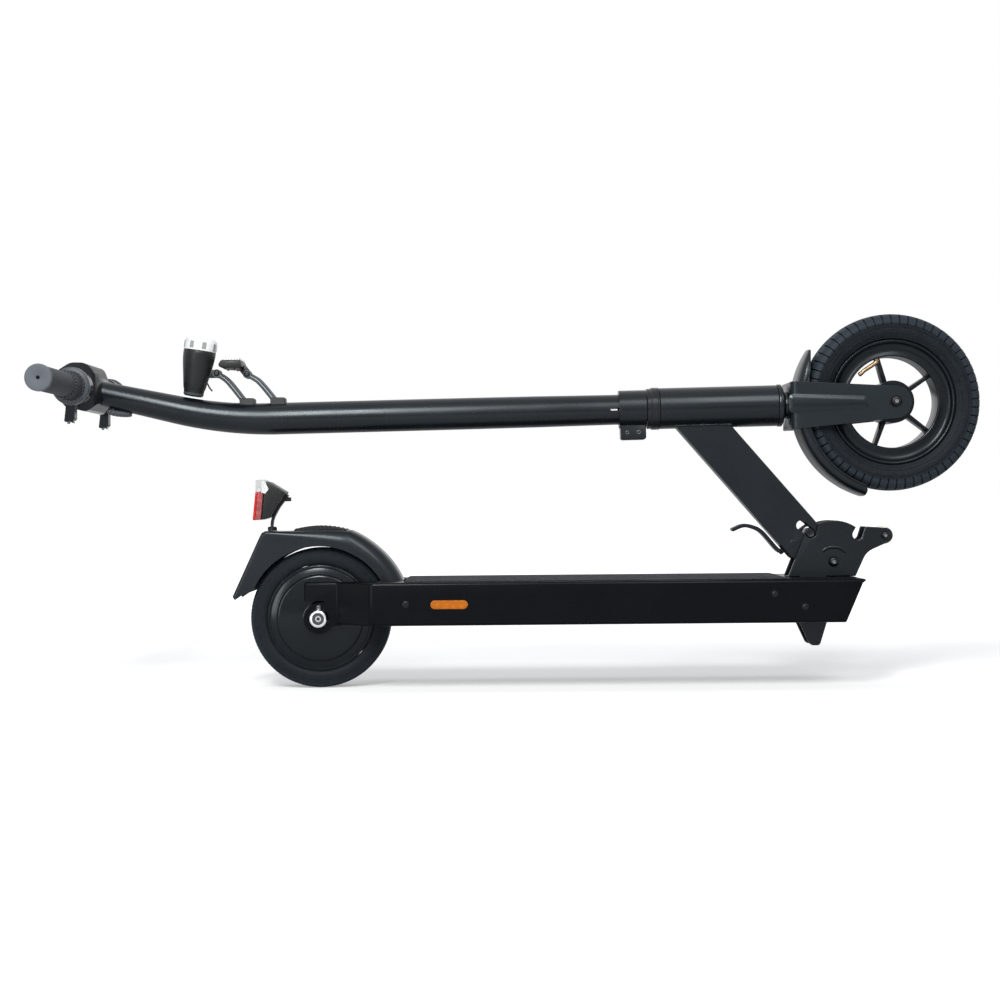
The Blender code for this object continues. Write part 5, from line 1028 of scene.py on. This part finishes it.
class SCOOTER_OT_handlebar(bpy.types.Operator):
    """Handlebar tube, grips, control housings and thumb levers"""
    bl_idname = "scooter.handlebar"
    bl_label = "Handlebar"

    def execute(self, context):
        bar = Piece(BAR)
        bar.lathe(mm(7.6, -228.5, 10, -228.5, 10, 228.5, 7.6, 228.5), PAINT, steps=48, closed=True)
        bar.stand_for("handlebar_tube")
        for side, sign in SIDES:
            turn = facing(sign)
            grip = Piece(BAR)
            body = mm(13.2, 225.6, 12.4, 225.2, 12.4, 224, 13, 223.2)
            body += mm(13.1, 220, 13.1, 130, 12.6, 128.4, 12.6, 127.4, 14, 126.8, 14.8, 126.4, 15, 125.6,
                       15, 123.8, 14.7, 123.2, 10.3, 123, 10.3, 228.6)
            grip.lathe([(0, 0.2286)] + body[::-1] + [(0, 0.2256)], "grip_rubber", steps=64, turn=turn)
            grip.lathe(mm(0, 225.8, 13.6, 225.8, 14, 226.4, 14, 229.8, 13.8, 230.4, 13.2, 230.8, 12, 230.9,
                          2, 230.6, 1.4, 230.3, 1.2, 229, 0, 229), "cap_rubber", steps=64, turn=turn)
            grip.lathe(mm(0, 230.4, 1.5, 230.6, 1.9, 230.9, 0, 231), DECK_PAINT, steps=32, turn=turn)
            grip.stand_for("grip_" + side)
            self.control(side, sign, turn)
        for node in ("throttle_lever", "brake_lever"):
            smoothed(node, GLOSS, 0.0005, 30)
        return {"FINISHED"}

    def control(self, side, sign, turn):
        housing = Piece(BAR)
        housing.lathe(mm(10.3, 91.2, 18.6, 91.2, 18.6, 69, 18.2, 67.4, 17.2, 66.4, 16, 66, 10.3, 66),
                      GLOSS, steps=80, closed=True, turn=turn)
        hollow = Piece()
        low, high = span(sign, 0.0757, 0.0891)
        hollow.lathe([(0, low), (0.0160, low), (0.0160, high), (0, high)], "black_plastic", steps=40)
        housing.carve(hollow)
        window = Piece().slab([(0, 0)] + arc((0, 0), 0.035, 234, 322, 10), low, high, "black_plastic")
        housing.carve(window)
        housing.lathe(mm(10.3, 98, 19.2, 97.8, 19.8, 97.5, 20.3, 96.8, 20.5, 95.8, 20.5, 91.6, 20.3, 90.8,
                         19.8, 90.4, 10.3, 90.4),
                      "control_plastic", steps=80, closed=True, turn=turn)
        sleeve = mm(10.3, 97.6, 15.8, 97.6, 16.2, 98.2, 16.2, 99.6, 15.6, 100.2, 14.2, 100.6, 13.8, 101.6,
                    13.6, 120.4, 13.2, 121.6, 10.3, 122.2)
        housing.lathe(sleeve[::-1], "grip_rubber", steps=80, closed=True, turn=turn)
        ring = mm(19.8, 91.2, 20.5, 91.4, 20.7, 91.8, 20.5, 92.2, 19.8, 92.4)
        housing.lathe(ring, "bar_plastic", steps=80, closed=True, turn=turn)
        housing.stand_for("control_housing_" + side)


class SCOOTER_OT_cockpit(bpy.types.Operator):
    """Display housing, its window and the ribbed cable boot"""
    bl_idname = "scooter.cockpit"
    bl_label = "Display"

    def execute(self, context):
        left, half = -0.0285, 0.0459
        pod = Piece(BAR).slab(rounded([
            (left, -0.0075, 0.006), (left, 0.0200, 0.0110), (-0.0120, 0.0298, 0.015), (0.0060, 0.0296, 0.012),
            (0.0150, 0.0110, 0.014), (0.0150, -0.0150, 0.008), (0.0040, -0.0254, 0.008),
            (-0.0182, -0.0194, 0.008)]), -half, half, GLOSS)
        first, length, narrowing, pitch = -0.0160, 0.0310, 0.024, 0.0034
        for k in range(9):
            everything = pod.mesh.verts[:] + pod.mesh.edges[:] + pod.mesh.faces[:]
            bmesh.ops.bisect_plane(pod.mesh, geom=everything, dist=1e-6,
                                   plane_co=(first + pitch * k, 0, 0), plane_no=(1, 0, 0))
        for v in pod.mesh.verts:
            along = max(0.0, v.co.x - first) / length
            wide = half - narrowing * (1 - (1 - along ** 2) ** 0.5 if along < 1 else 1)
            v.co.y = max(-wide, min(wide, v.co.y))
        for face in pod.mesh.faces:
            middle = face.calc_center_median()
            if middle.z < -0.0095 and face.normal.z < -0.25 and face.normal.x < 0.6:
                pod.paint(face, "grey_plastic")
            # Faces over the pod's upper front get a lighter plastic: a painted highlight on the gloss housing
            elif middle.x > 0.0040 and middle.z > 0.0150:
                pod.paint(face, "strap_plastic")
        pod.stand_for("display_housing", 0.0007, angle=40)
        window = Piece(BAR).slab(mm(-29.7, -4, 29.7, -4, 29.7, 12.5, -29.7, 12.5),
                                 left - 0.0001, left + 0.0008, GLOSS, "YZ", 0.0004)
        window.stand_for("display_window")
        boot = Piece(BAR)
        spine = smooth([(0.0192, 0, -0.0228), (0.0230, 0, -0.0243), (0.0290, 0, -0.0256),
                        (0.0350, 0, -0.0264), (0.0400, 0, -0.0270), (0.0440, 0, -0.0274),
                        (0.0456, 0, -0.0275)], 6)
        last = len(spine) - 1
        girth = [0.0012 + 0.0024 * sin(pi * min(1.0, 0.22 + 0.78 * k / last)) ** 0.6
                 + (0.0003 if k % 4 < 2 and 3 < k < last - 3 else 0.0) for k in range(last + 1)]
        boot.tube(spine, girth, "control_plastic", 28, 2.0)
        boot.stand_for("cable_boot")
        return {"FINISHED"}


class SCOOTER_OT_lights(bpy.types.Operator):
    """Headlight, front reflector and their brackets"""
    bl_idname = "scooter.lights"
    bl_label = "Front lights"

    def execute(self, context):
        for node in ("light_bracket", "reflector_bracket"):
            smoothed(node, "strap_plastic", 0.0003, 30)
        base = Matrix.Translation((-0.0283, 0, -0.0250)) @ Matrix.Rotation(atan2(0.0113, 0.0646), 4, "Y")
        ear, ear_half, web, web_half = 0.0046, 0.0032, 0.0024, 0.0061
        light = Piece(LIGHT)
        light.lathe(mm(0, 50, 16.4, 50, 16.4, 51.9, 18, 51.9, 18.2, 51.6, 18.2, 47.8, 17.8, 42, 16.7, 34,
                       15, 24, 13.5, 15, 12.6, 9.8, 12.2, 9, 12, 8, 11.7, 7.6, 11.3, 4, 10.8, 1.8,
                       9.2, 0.6, 0, 0),
                    "black_plastic", "Z", steps=72)
        light.lathe(mm(0, -0.3, 9.2, 0.2, 11, 1.4, 11.6, 3.2, 11.2, 3.6, 0, 3.6), "control_plastic", "Z",
                    steps=72)
        light.move(base)
        light.slab(arc((0, 0), ear, -90, 90, 14) + [(-0.0150, ear), (-0.0150, -ear)],
                   -ear_half, ear_half, "black_plastic", bevel=0.0006)
        light.tube(smooth([(-0.0200, -0.006, -0.0165), (-0.0120, -0.006, -0.0108), (-0.0085, -0.006, -0.0160),
                           (-0.0055, -0.006, -0.0200)], 6), [0.0009] * 19, "black_rubber", 12)
        light.stand_for("headlight_body")
        lens = Piece(LIGHT)
        lens.lathe(mm(0, 50.3, 16.1, 50.3, 16.3, 52.3, 18.1, 52.3, 18.3, 53, 18.2, 60, 17.8, 63.2,
                      17, 65.2, 15.4, 66.4, 11, 67, 0, 67.4), "white_cap", "Z", steps=72)
        count = context.scene.scooter_sizes.lens_bars
        for k in range(count):
            lens.slab(mm(-2.5, 53.8, 2.5, 53.8, 2.5, 61.8, -2.5, 61.8),
                      0.0160, 0.0185, "bar_plastic", bevel=0.0003, segments=1,
                      turn=Matrix.Rotation(2 * pi * (k + 0.5) / count, 4, "Z"))
        lens.move(base)
        lens.stand_for("headlight_lens")
        box = Piece(GLINT).slab(mm(-29.6, 8.6, -29.7, 11.4, -26.9, 15.2, -5.4, 14.8, -3.7, 7.8, -6.1, 5.6,
                                   -9.6, 5.8, -27.6, 7.4), -0.0225, 0.0225, "black_plastic",
            bevel=0.0010, corner=20)
        box.slab(arc((0, 0), ear, -143, 37, 12) + [(-0.0024, 0.0109), (-0.0098, 0.0055)],
                 -ear_half, ear_half, "black_plastic", bevel=0.0005)
        for x, z in ((-0.0240, 0.0069), (-0.0130, 0.0060)):
            for side in (-0.014, 0.014):
                box.lathe(mm(0, -1.2, 0.6, -1.1, 1.1, -0.7, 1.3, 0, 1.3, 1, 0, 1), "black_plastic", "Z",
                          at=(x, side, z), steps=24)
        box.stand_for("reflector_housing")
        for name, place, line in (
                ("light", LIGHT,
                 mm(3.4, -2.2, 12.7, -9.7, 26.5, -27.5, 28.5, -30.5)),
                ("reflector", GLINT,
                 mm(3.8, -2.2, 13.4, -9, 27, -25.8, 29, -29))):
            ribs = Piece(place)
            spine = smooth(line, 6)
            ribs.slab(beside(spine, web) + beside(spine, -web)[::-1], -web_half, web_half, "strap_plastic")
            # The rib lines are painted highlights along each strap: light grey in the middle, and lighter along
            # the upper edge than along the lower one
            for side in (-web_half, web_half):
                for shift, radius, finish in ((-web, 0.0008, "cap_rubber"), (0.0, 0.0005, "grey_plastic"),
                                              (web, 0.0008, "control_plastic")):
                    path = [(x, side, z) for x, z in beside(spine, shift)]
                    ribs.tube(path, [radius] * len(path), finish, 10)
            ribs.finish(name + "_strap_ribs", "steering")
        lens = Piece(GLINT).slab(mm(-26.5, 15.3, -25.8, 18, -6, 17.6, -5.7, 14.9),
                                 -0.0217, 0.0217, "white_lens", bevel=0.0007)
        lens.stand_for("reflector_lens")
        bosses = Piece(LIGHT)
        for centre in (LIGHT, GLINT):
            spot = LIGHT.inverted() @ centre.translation
            for sign in (-1, 1):
                turn = facing(sign)
                bosses.lathe(mm(3.6, 6.2, 3.6, 7.1, 3.8, 7.3, 4.3, 7.3, 4.6, 7, 4.6, 6.2), "cap_rubber",
                             at=spot, steps=40, closed=True, turn=turn)
                socket_screw(bosses, (spot.x, sign * 0.0064, spot.z), sign, 0.0034, 0.0012, SCREW,
                             "socket_steel", 0.4)
        bosses.finish("tilt_screws", "steering")
        return {"FINISHED"}


class SCOOTER_OT_rear_wheel(bpy.types.Operator):
    """Rear tyre, hub motor, axle, nuts and brackets"""
    bl_idname = "scooter.rear_wheel"
    bl_label = "Rear wheel"

    def execute(self, context):
        self.tyre()
        cover = Piece(REAR)
        cover.lathe(mm(6.4, -17.5, 55.1, -17.5, 55.1, -20.8, 59.4, -20.8, 58.8, -21.6, 58, -21.9,
                       57.2, -21.8, 56.6, -21.2, 56, -21.2, 55.6, -21.9, 54.8, -22.2, 50, -22.8, 49, -23,
                       48.6, -23.6, 48.2, -24.4, 47.6, -25, 46.6, -25.5, 45.2, -25.7, 20, -26.4,
                       16.8, -26.6, 16, -27.2, 15, -29.4, 14.4, -30, 6.4, -30),
                    "cover_black_paint", steps=128, closed=True)
        cover.stand_for("motor_cover")
        drum = Piece(REAR)
        drum.lathe(mm(6.4, 30, 14.2, 30, 14.8, 29.4, 16.2, 26.6, 20, 26.2, 47.4, 25.2, 48.2, 24.7,
                      48.8, 22.8, 55.5, 21.6, 59.2, 20.8, 59.7, 20, 59.7, -20.5, 55.5, -20.5, 55.5, 17.5,
                      6.4, 19.5), RIM_PAINT, steps=128, closed=True)
        drum.stand_for("motor_drum")
        smoothed("motor_stator", "dark_steel")
        for side, sign in SIDES:
            smoothed("axle_bracket_" + side, DECK_PAINT, 0.0003, 30)
            nut = Piece(REAR)
            turn = facing(sign)
            nut.lathe(mm(6.3, 36.7, 10.9, 36.7, 11.1, 37, 11.1, 38.8, 10.4, 39.8, 10.1, 40.4, 9.9, 44.2,
                         9.6, 45, 8.8, 45.8, 7.8, 46.2, 6.8, 46.1, 6.4, 45.6, 6.3, 44.5), "chrome", steps=64,
                      closed=True, turn=turn)
            nut.lathe(mm(6.1, 44, 6.4, 45, 6.8, 45.5, 7, 45.2, 7, 44), SCREW, steps=64, closed=True,
                      turn=turn)
            nut.slab(mm(-2.6, 10.4, 2.6, 10.4, 2.2, 14.6, -2.2, 14.6),
                     *span(sign, 0.0368, 0.0384), "dark_steel", bevel=0.0006)
            nut.stand_for("axle_nut_" + side)
        axle = Piece(REAR)
        end = mm(6, 43.6, 5.6, 44, 4.4, 44, 4.2, 43.4, 3.4, 43.4, 3.2, 44, 2, 44, 1.7, 43.6, 1.6, 40, 0, 40)
        axle.lathe([(0, -0.0400)] + [(r, -a) for r, a in end[-2::-1]] + end, "dark_steel", steps=48)
        for sign in (-1, 1):
            axle.lathe(mm(1.8, 43.8, 2.1, 44.2, 3.1, 44.2, 3.3, 43.8),
                       "bright_steel", steps=40, closed=True, turn=facing(sign))
        axle.stand_for("rear_axle")
        return {"FINISHED"}

    def tyre(self):
        half = mm(60, 20) + smooth(mm(61, 21.2, 63.2, 22.1, 66, 22.5, 69, 22.5, 70, 22.4), 3)
        half += mm(70.4, 22.1, 71.2, 22.1, 72, 22.1, 72.8, 21.9, 73.6, 21.7, 74.4, 21.4, 75.2, 20.8,
                   76, 20, 76.7, 19, 77.3, 17.8, 77.8, 16.5, 78.2, 15, 78.5, 13.5, 78.7, 11.8, 78.8, 10,
                   78.8, 8, 77.6, 7.6, 77.6, 6.2, 78.8, 5.8, 78.8, 0)

        around, rows_per_metre = 240, 1250

        def knobs(part):
            """Raises every second face of the shoulder and the tread's side, like a chessboard."""
            rows = []
            for face in part.faces:
                middle = face.calc_center_median()
                reach = hypot(middle.x, middle.z)
                turn = round((atan2(middle.z, middle.x) / (2 * pi)) * around - 0.5)
                row = int(reach * rows_per_metre)
                if 0.0722 < reach < 0.0782 and abs(middle.y) > 0.0085 and (turn + row) % 2 == 0:
                    rows.append(face)
            bmesh.ops.inset_individual(part, faces=rows, thickness=0.0004, depth=0.0006)

        tyre = Piece(REAR)
        tyre.lathe(mirrored(half), "rear_tyre_rubber", steps=around, closed=True, shape=knobs)
        tyre.stand_for("rear_tyre", angle=30)


class SCOOTER_OT_rear_fender(bpy.types.Operator):
    """Rear fender that is the foot brake, with its step pad and shoe"""
    bl_idname = "scooter.rear_fender"
    bl_label = "Rear fender"

    def execute(self, context):
        self.shell()
        smoothed("step_pad", "black_rubber", 0.0002, 30)
        smoothed("brake_shoe", "black_rubber", 0.0004)
        return {"FINISHED"}

    def shell(self):
        """The pressed shell: half round over the front of the wheel, flat sided towards its tail."""
        hub, outer, skirt, half_width, wall = 0.079, 0.102, 0.0805, 0.030, 0.0025
        rim = [(0.1066, 0.0950), (0.1050, 0.1000)] + [(x, z + hub) for x, z in arc((0, 0), outer, 19, 70, 14)]
        rim += [(0.0349 - 0.0954 * k / 10, 0.1749 + 0.0019 * k / 10) for k in range(1, 11)]
        rim += mm(-64.2, 175, -66.8, 170.4, -72, 159.2, -77.2, 147.9, -82.4, 136.7, -87.6, 125.4,
                  -92, 115.9, -95, 109.4, -97.5, 104)
        hem = [(0.0925, 0.0925), (0.0850, 0.1000)] + [(x, z + hub) for x, z in arc((0, 0), skirt, 28, 70, 14)]
        hem += [(x, z + hub) for x, z in arc((0, 0), skirt, 70, 120, 10)[1:]]
        hem += [(x, z + hub) for x, z in arc((0, 0), skirt, 123, 154, 5)]
        hem += mm(-72.2, 110.5, -86, 105.6, -94.5, 100)
        swell, back, front = 0.0028, -0.045, 0.075  # how much the roof rises between two places
        rim = [(x, z + swell * sin(pi * (x - back) / (front - back)) ** 2)
               if back < x < front and z > 0.15 else (x, z) for x, z in rim]
        tight, wider, tail, ease = 0.0035, 0.0130, -0.0668, 0.125  # its edges' radius, from the tail on
        rounds = []
        for x, z in rim:
            share = min(1.0, max(0.0, (x - tail) / ease))
            rounds.append(tight + wider * share * share * (3 - 2 * share))
        count, across = len(rim), 32
        part = bmesh.new()
        bmesh.ops.create_grid(part, x_segments=count - 1, y_segments=across, size=0.5)
        for v in part.verts:
            i = round((v.co.x + 0.5) * (count - 1))
            share = v.co.y * 2
            high, low = Vector(rim[i]), Vector(hem[i])
            depth = (high - low).length
            bend = min(rounds[i], 0.8 * depth)
            sign = 1 if share >= 0 else -1
            share = abs(share)
            if share < 0.25:
                y, fall = (half_width - bend) * share / 0.25, 0.0
            elif share < 0.75:
                turn = (share - 0.25) * pi
                y, fall = half_width - bend + bend * sin(turn), bend * (1 - cos(turn))
            else:
                y, fall = half_width, bend + (depth - bend) * (share - 0.75) / 0.25
            place = high + (low - high) * (fall / depth)
            v.co = (place.x, sign * y, place.y)
        bmesh.ops.recalc_face_normals(part, faces=part.faces)
        top = max(part.faces, key=lambda f: f.calc_center_median().z)
        if top.normal.z < 0:
            bmesh.ops.reverse_faces(part, faces=part.faces)
        bmesh.ops.solidify(part, geom=part.faces, thickness=wall)
        shell = Piece(GROUND)
        shell.absorb(part, Matrix(), PAINT)
        shell.lathe(mm(3.2, -29.6, 6.2, -29.6, 6.2, 29.6, 3.2, 29.6),
                    PAINT, at=(0.0991, 0, 0.0960), closed=True, steps=40)
        shell.stand_for("rear_fender", angle=30)


class SCOOTER_OT_tail_light(bpy.types.Operator):
    """Tail light on its stalk"""
    bl_idname = "scooter.tail_light"
    bl_label = "Tail light"

    def execute(self, context):
        smoothed("taillight_stalk", PAINT, 0.0002, 30)
        smoothed("taillight_housing", "black_plastic", 0.0003, 30)
        lens = Piece(GROUND)
        lens.slab(mm(-72.2, 220.8, -75.5, 189.3, -72.7, 189.1, -69.4, 220.8),
                  -0.0185, 0.0185, "red_lens", bevel=0.0006)
        lens.slab(mm(-69.3, 220.8, -72.6, 189.3, -66.4, 189.4, -63.4, 220.8),
                  -0.0184, 0.0184, "pink_lens", bevel=0.0004)
        lens.slab(arc((-0.0700, 0.2330), 0.0018, 170, 90, 5) + mm(-62.2, 234.8, -63.4, 221, -72.2, 221),
                  -0.0185, 0.0185, "white_lens", bevel=0.0006)
        for low, high in ((-0.0195, -0.0186), (0.0186, 0.0195)):
            lens.slab(mm(-65, 233.8, -61.4, 233.6, -57, 224, -60.6, 219, -65, 220), low, high,
                      "white_lens", bevel=0.0003, segments=1)
        lens.stand_for("taillight_lens")
        return {"FINISHED"}


class SCOOTER_OT_stage(bpy.types.Operator):
    """Pale floor, soft lamps, white surroundings and the camera"""
    bl_idname = "scooter.stage"
    bl_label = "Stage"

    def execute(self, context):
        studio = context.scene.scooter_studio
        shape = bmesh.new()
        bmesh.ops.create_grid(shape, x_segments=1, y_segments=1, size=15.0)
        mesh = bpy.data.meshes.new("floor")
        shape.to_mesh(mesh)
        shape.free()
        floor = bpy.data.objects.new("floor", mesh)
        context.scene.collection.objects.link(floor)
        mesh.materials.append(self.floor_finish())
        self.surroundings(context.scene)
        lamps = (  # name, place, width, height and share of the main lamp's power
            ("main", (-0.52, -1.85, 1.50), 0.36, 1.00, 1.0), ("right", (0.60, -1.75, 1.80), 0.6, 1.1, 0.36),
            ("left", (-1.45, -2.0, 0.40), 0.45, 0.9, 0.18), ("top", (0.2, 0.5, 2.4), 2.4, 0.9, 0.3),
            ("back", (-0.3, 2.4, 1.6), 2.4, 0.6, 0.2))
        for name, place, width, height, share in lamps:
            lamp = bpy.data.lights.new(name, "AREA")
            lamp.shape = "RECTANGLE"
            lamp.size = width
            lamp.size_y = height
            lamp.energy = studio.lamp_power * share
            made = bpy.data.objects.new(name, lamp)
            made.location = place
            made.visible_glossy = name not in ("top", "back")
            aim = Vector((0, 0, 0.2)) - Vector(place)
            made.rotation_euler = aim.to_track_quat("-Z", "Y").to_euler()
            context.scene.collection.objects.link(made)
        camera = bpy.data.cameras.new("camera")
        camera.lens = studio.camera_lens
        camera.sensor_width = 36.0
        made = bpy.data.objects.new("camera", camera)
        made.matrix_world = (Matrix.Translation(studio.camera_place) @ Matrix.Rotation(pi / 2, 4, "X")
                             @ Matrix.Rotation(studio.camera_roll, 4, "Z"))
        context.scene.collection.objects.link(made)
        context.scene.camera = made
        context.scene.view_settings.view_transform = "Standard"
        return {"FINISHED"}

    def floor_finish(self):
        g = Graph("floor_finish", (0.80, 0.80, 0.80), 0.9)
        g.set(specular=0.0)
        rays = g.node("LightPath").outputs["Is Camera Ray"]
        reach = g.node("VectorMath", {0: g.coordinates()}, operation="LENGTH").outputs["Value"]
        far = g.spread(reach, 0.5, 2.0, 0.35, 1.0)
        glow = g.node("Emission", {"Strength": g.maths("MULTIPLY", rays, far)}).outputs[0]
        both = g.node("AddShader", {0: g.shader.outputs[0], 1: glow}).outputs[0]
        g.tree.links.new(both, g.tree.nodes["Material Output"].inputs["Surface"])
        return g.material

    def surroundings(self, scene):
        """A dim sky that is white to the camera, and in gloss and glass."""
        world = bpy.data.worlds.new("surroundings")
        scene.world = world
        world.use_nodes = True
        tree = world.node_tree
        soft = tree.nodes["Background"]
        soft.inputs["Color"].default_value = (0.9, 0.95, 1.0, 1.0)
        soft.inputs["Strength"].default_value = 0.22
        white = tree.nodes.new("ShaderNodeBackground")
        white.inputs["Strength"].default_value = 1.0
        white.inputs["Color"].default_value = (1.0, 1.0, 1.0, 1.0)
        rays = tree.nodes.new("ShaderNodeLightPath").outputs
        seen = rays["Is Camera Ray"]
        for other in ("Is Glossy Ray", "Is Transmission Ray"):
            either = tree.nodes.new("ShaderNodeMath")
            either.operation = "MAXIMUM"
            tree.links.new(seen, either.inputs[0])
            tree.links.new(rays[other], either.inputs[1])
            seen = either.outputs[0]
        mix = tree.nodes.new("ShaderNodeMixShader")
        for k, source in enumerate((seen, soft.outputs[0], white.outputs[0])):
            tree.links.new(source, mix.inputs[k])
        tree.links.new(mix.outputs[0], tree.nodes["World Output"].inputs["Surface"])


class SCOOTER_PT_pieces(bpy.types.Panel):
    """Lists the operators that build the scooter"""
    bl_idname = "SCOOTER_PT_pieces"
    bl_label = "Folding scooter"
    bl_space_type = "VIEW_3D"
    bl_region_type = "UI"
    bl_category = "Scooter"

    def draw(self, context):
        for key in GROUPS:
            group = getattr(context.scene, key)
            for name in group.__annotations__:
                self.layout.prop(group, name)
        for operator in OPERATORS:
            self.layout.operator(operator.bl_idname)


GROUPS = {"scooter_sizes": ScooterSizes, "scooter_colours": ScooterColours, "scooter_studio": ScooterStudio}
OPERATORS = (
    SCOOTER_OT_deck, SCOOTER_OT_hinge, SCOOTER_OT_neck, SCOOTER_OT_fork, SCOOTER_OT_front_fender,
    SCOOTER_OT_front_wheel, SCOOTER_OT_stem, SCOOTER_OT_handlebar, SCOOTER_OT_cockpit, SCOOTER_OT_lights,
    SCOOTER_OT_rear_wheel, SCOOTER_OT_rear_fender, SCOOTER_OT_tail_light, SCOOTER_OT_stage)


def register():
    for name, group in GROUPS.items():
        bpy.utils.register_class(group)
        setattr(bpy.types.Scene, name, PointerProperty(type=group))
    for operator in OPERATORS:
        bpy.utils.register_class(operator)
    bpy.utils.register_class(SCOOTER_PT_pieces)


def unregister():
    bpy.utils.unregister_class(SCOOTER_PT_pieces)
    for operator in reversed(OPERATORS):
        bpy.utils.unregister_class(operator)
    for name, group in GROUPS.items():
        delattr(bpy.types.Scene, name)
        bpy.utils.unregister_class(group)


def main():
    register()
    for operator in OPERATORS:
        family, name = operator.bl_idname.split(".")
        getattr(getattr(bpy.ops, family), name)()


if __name__ == "__main__":
    main()
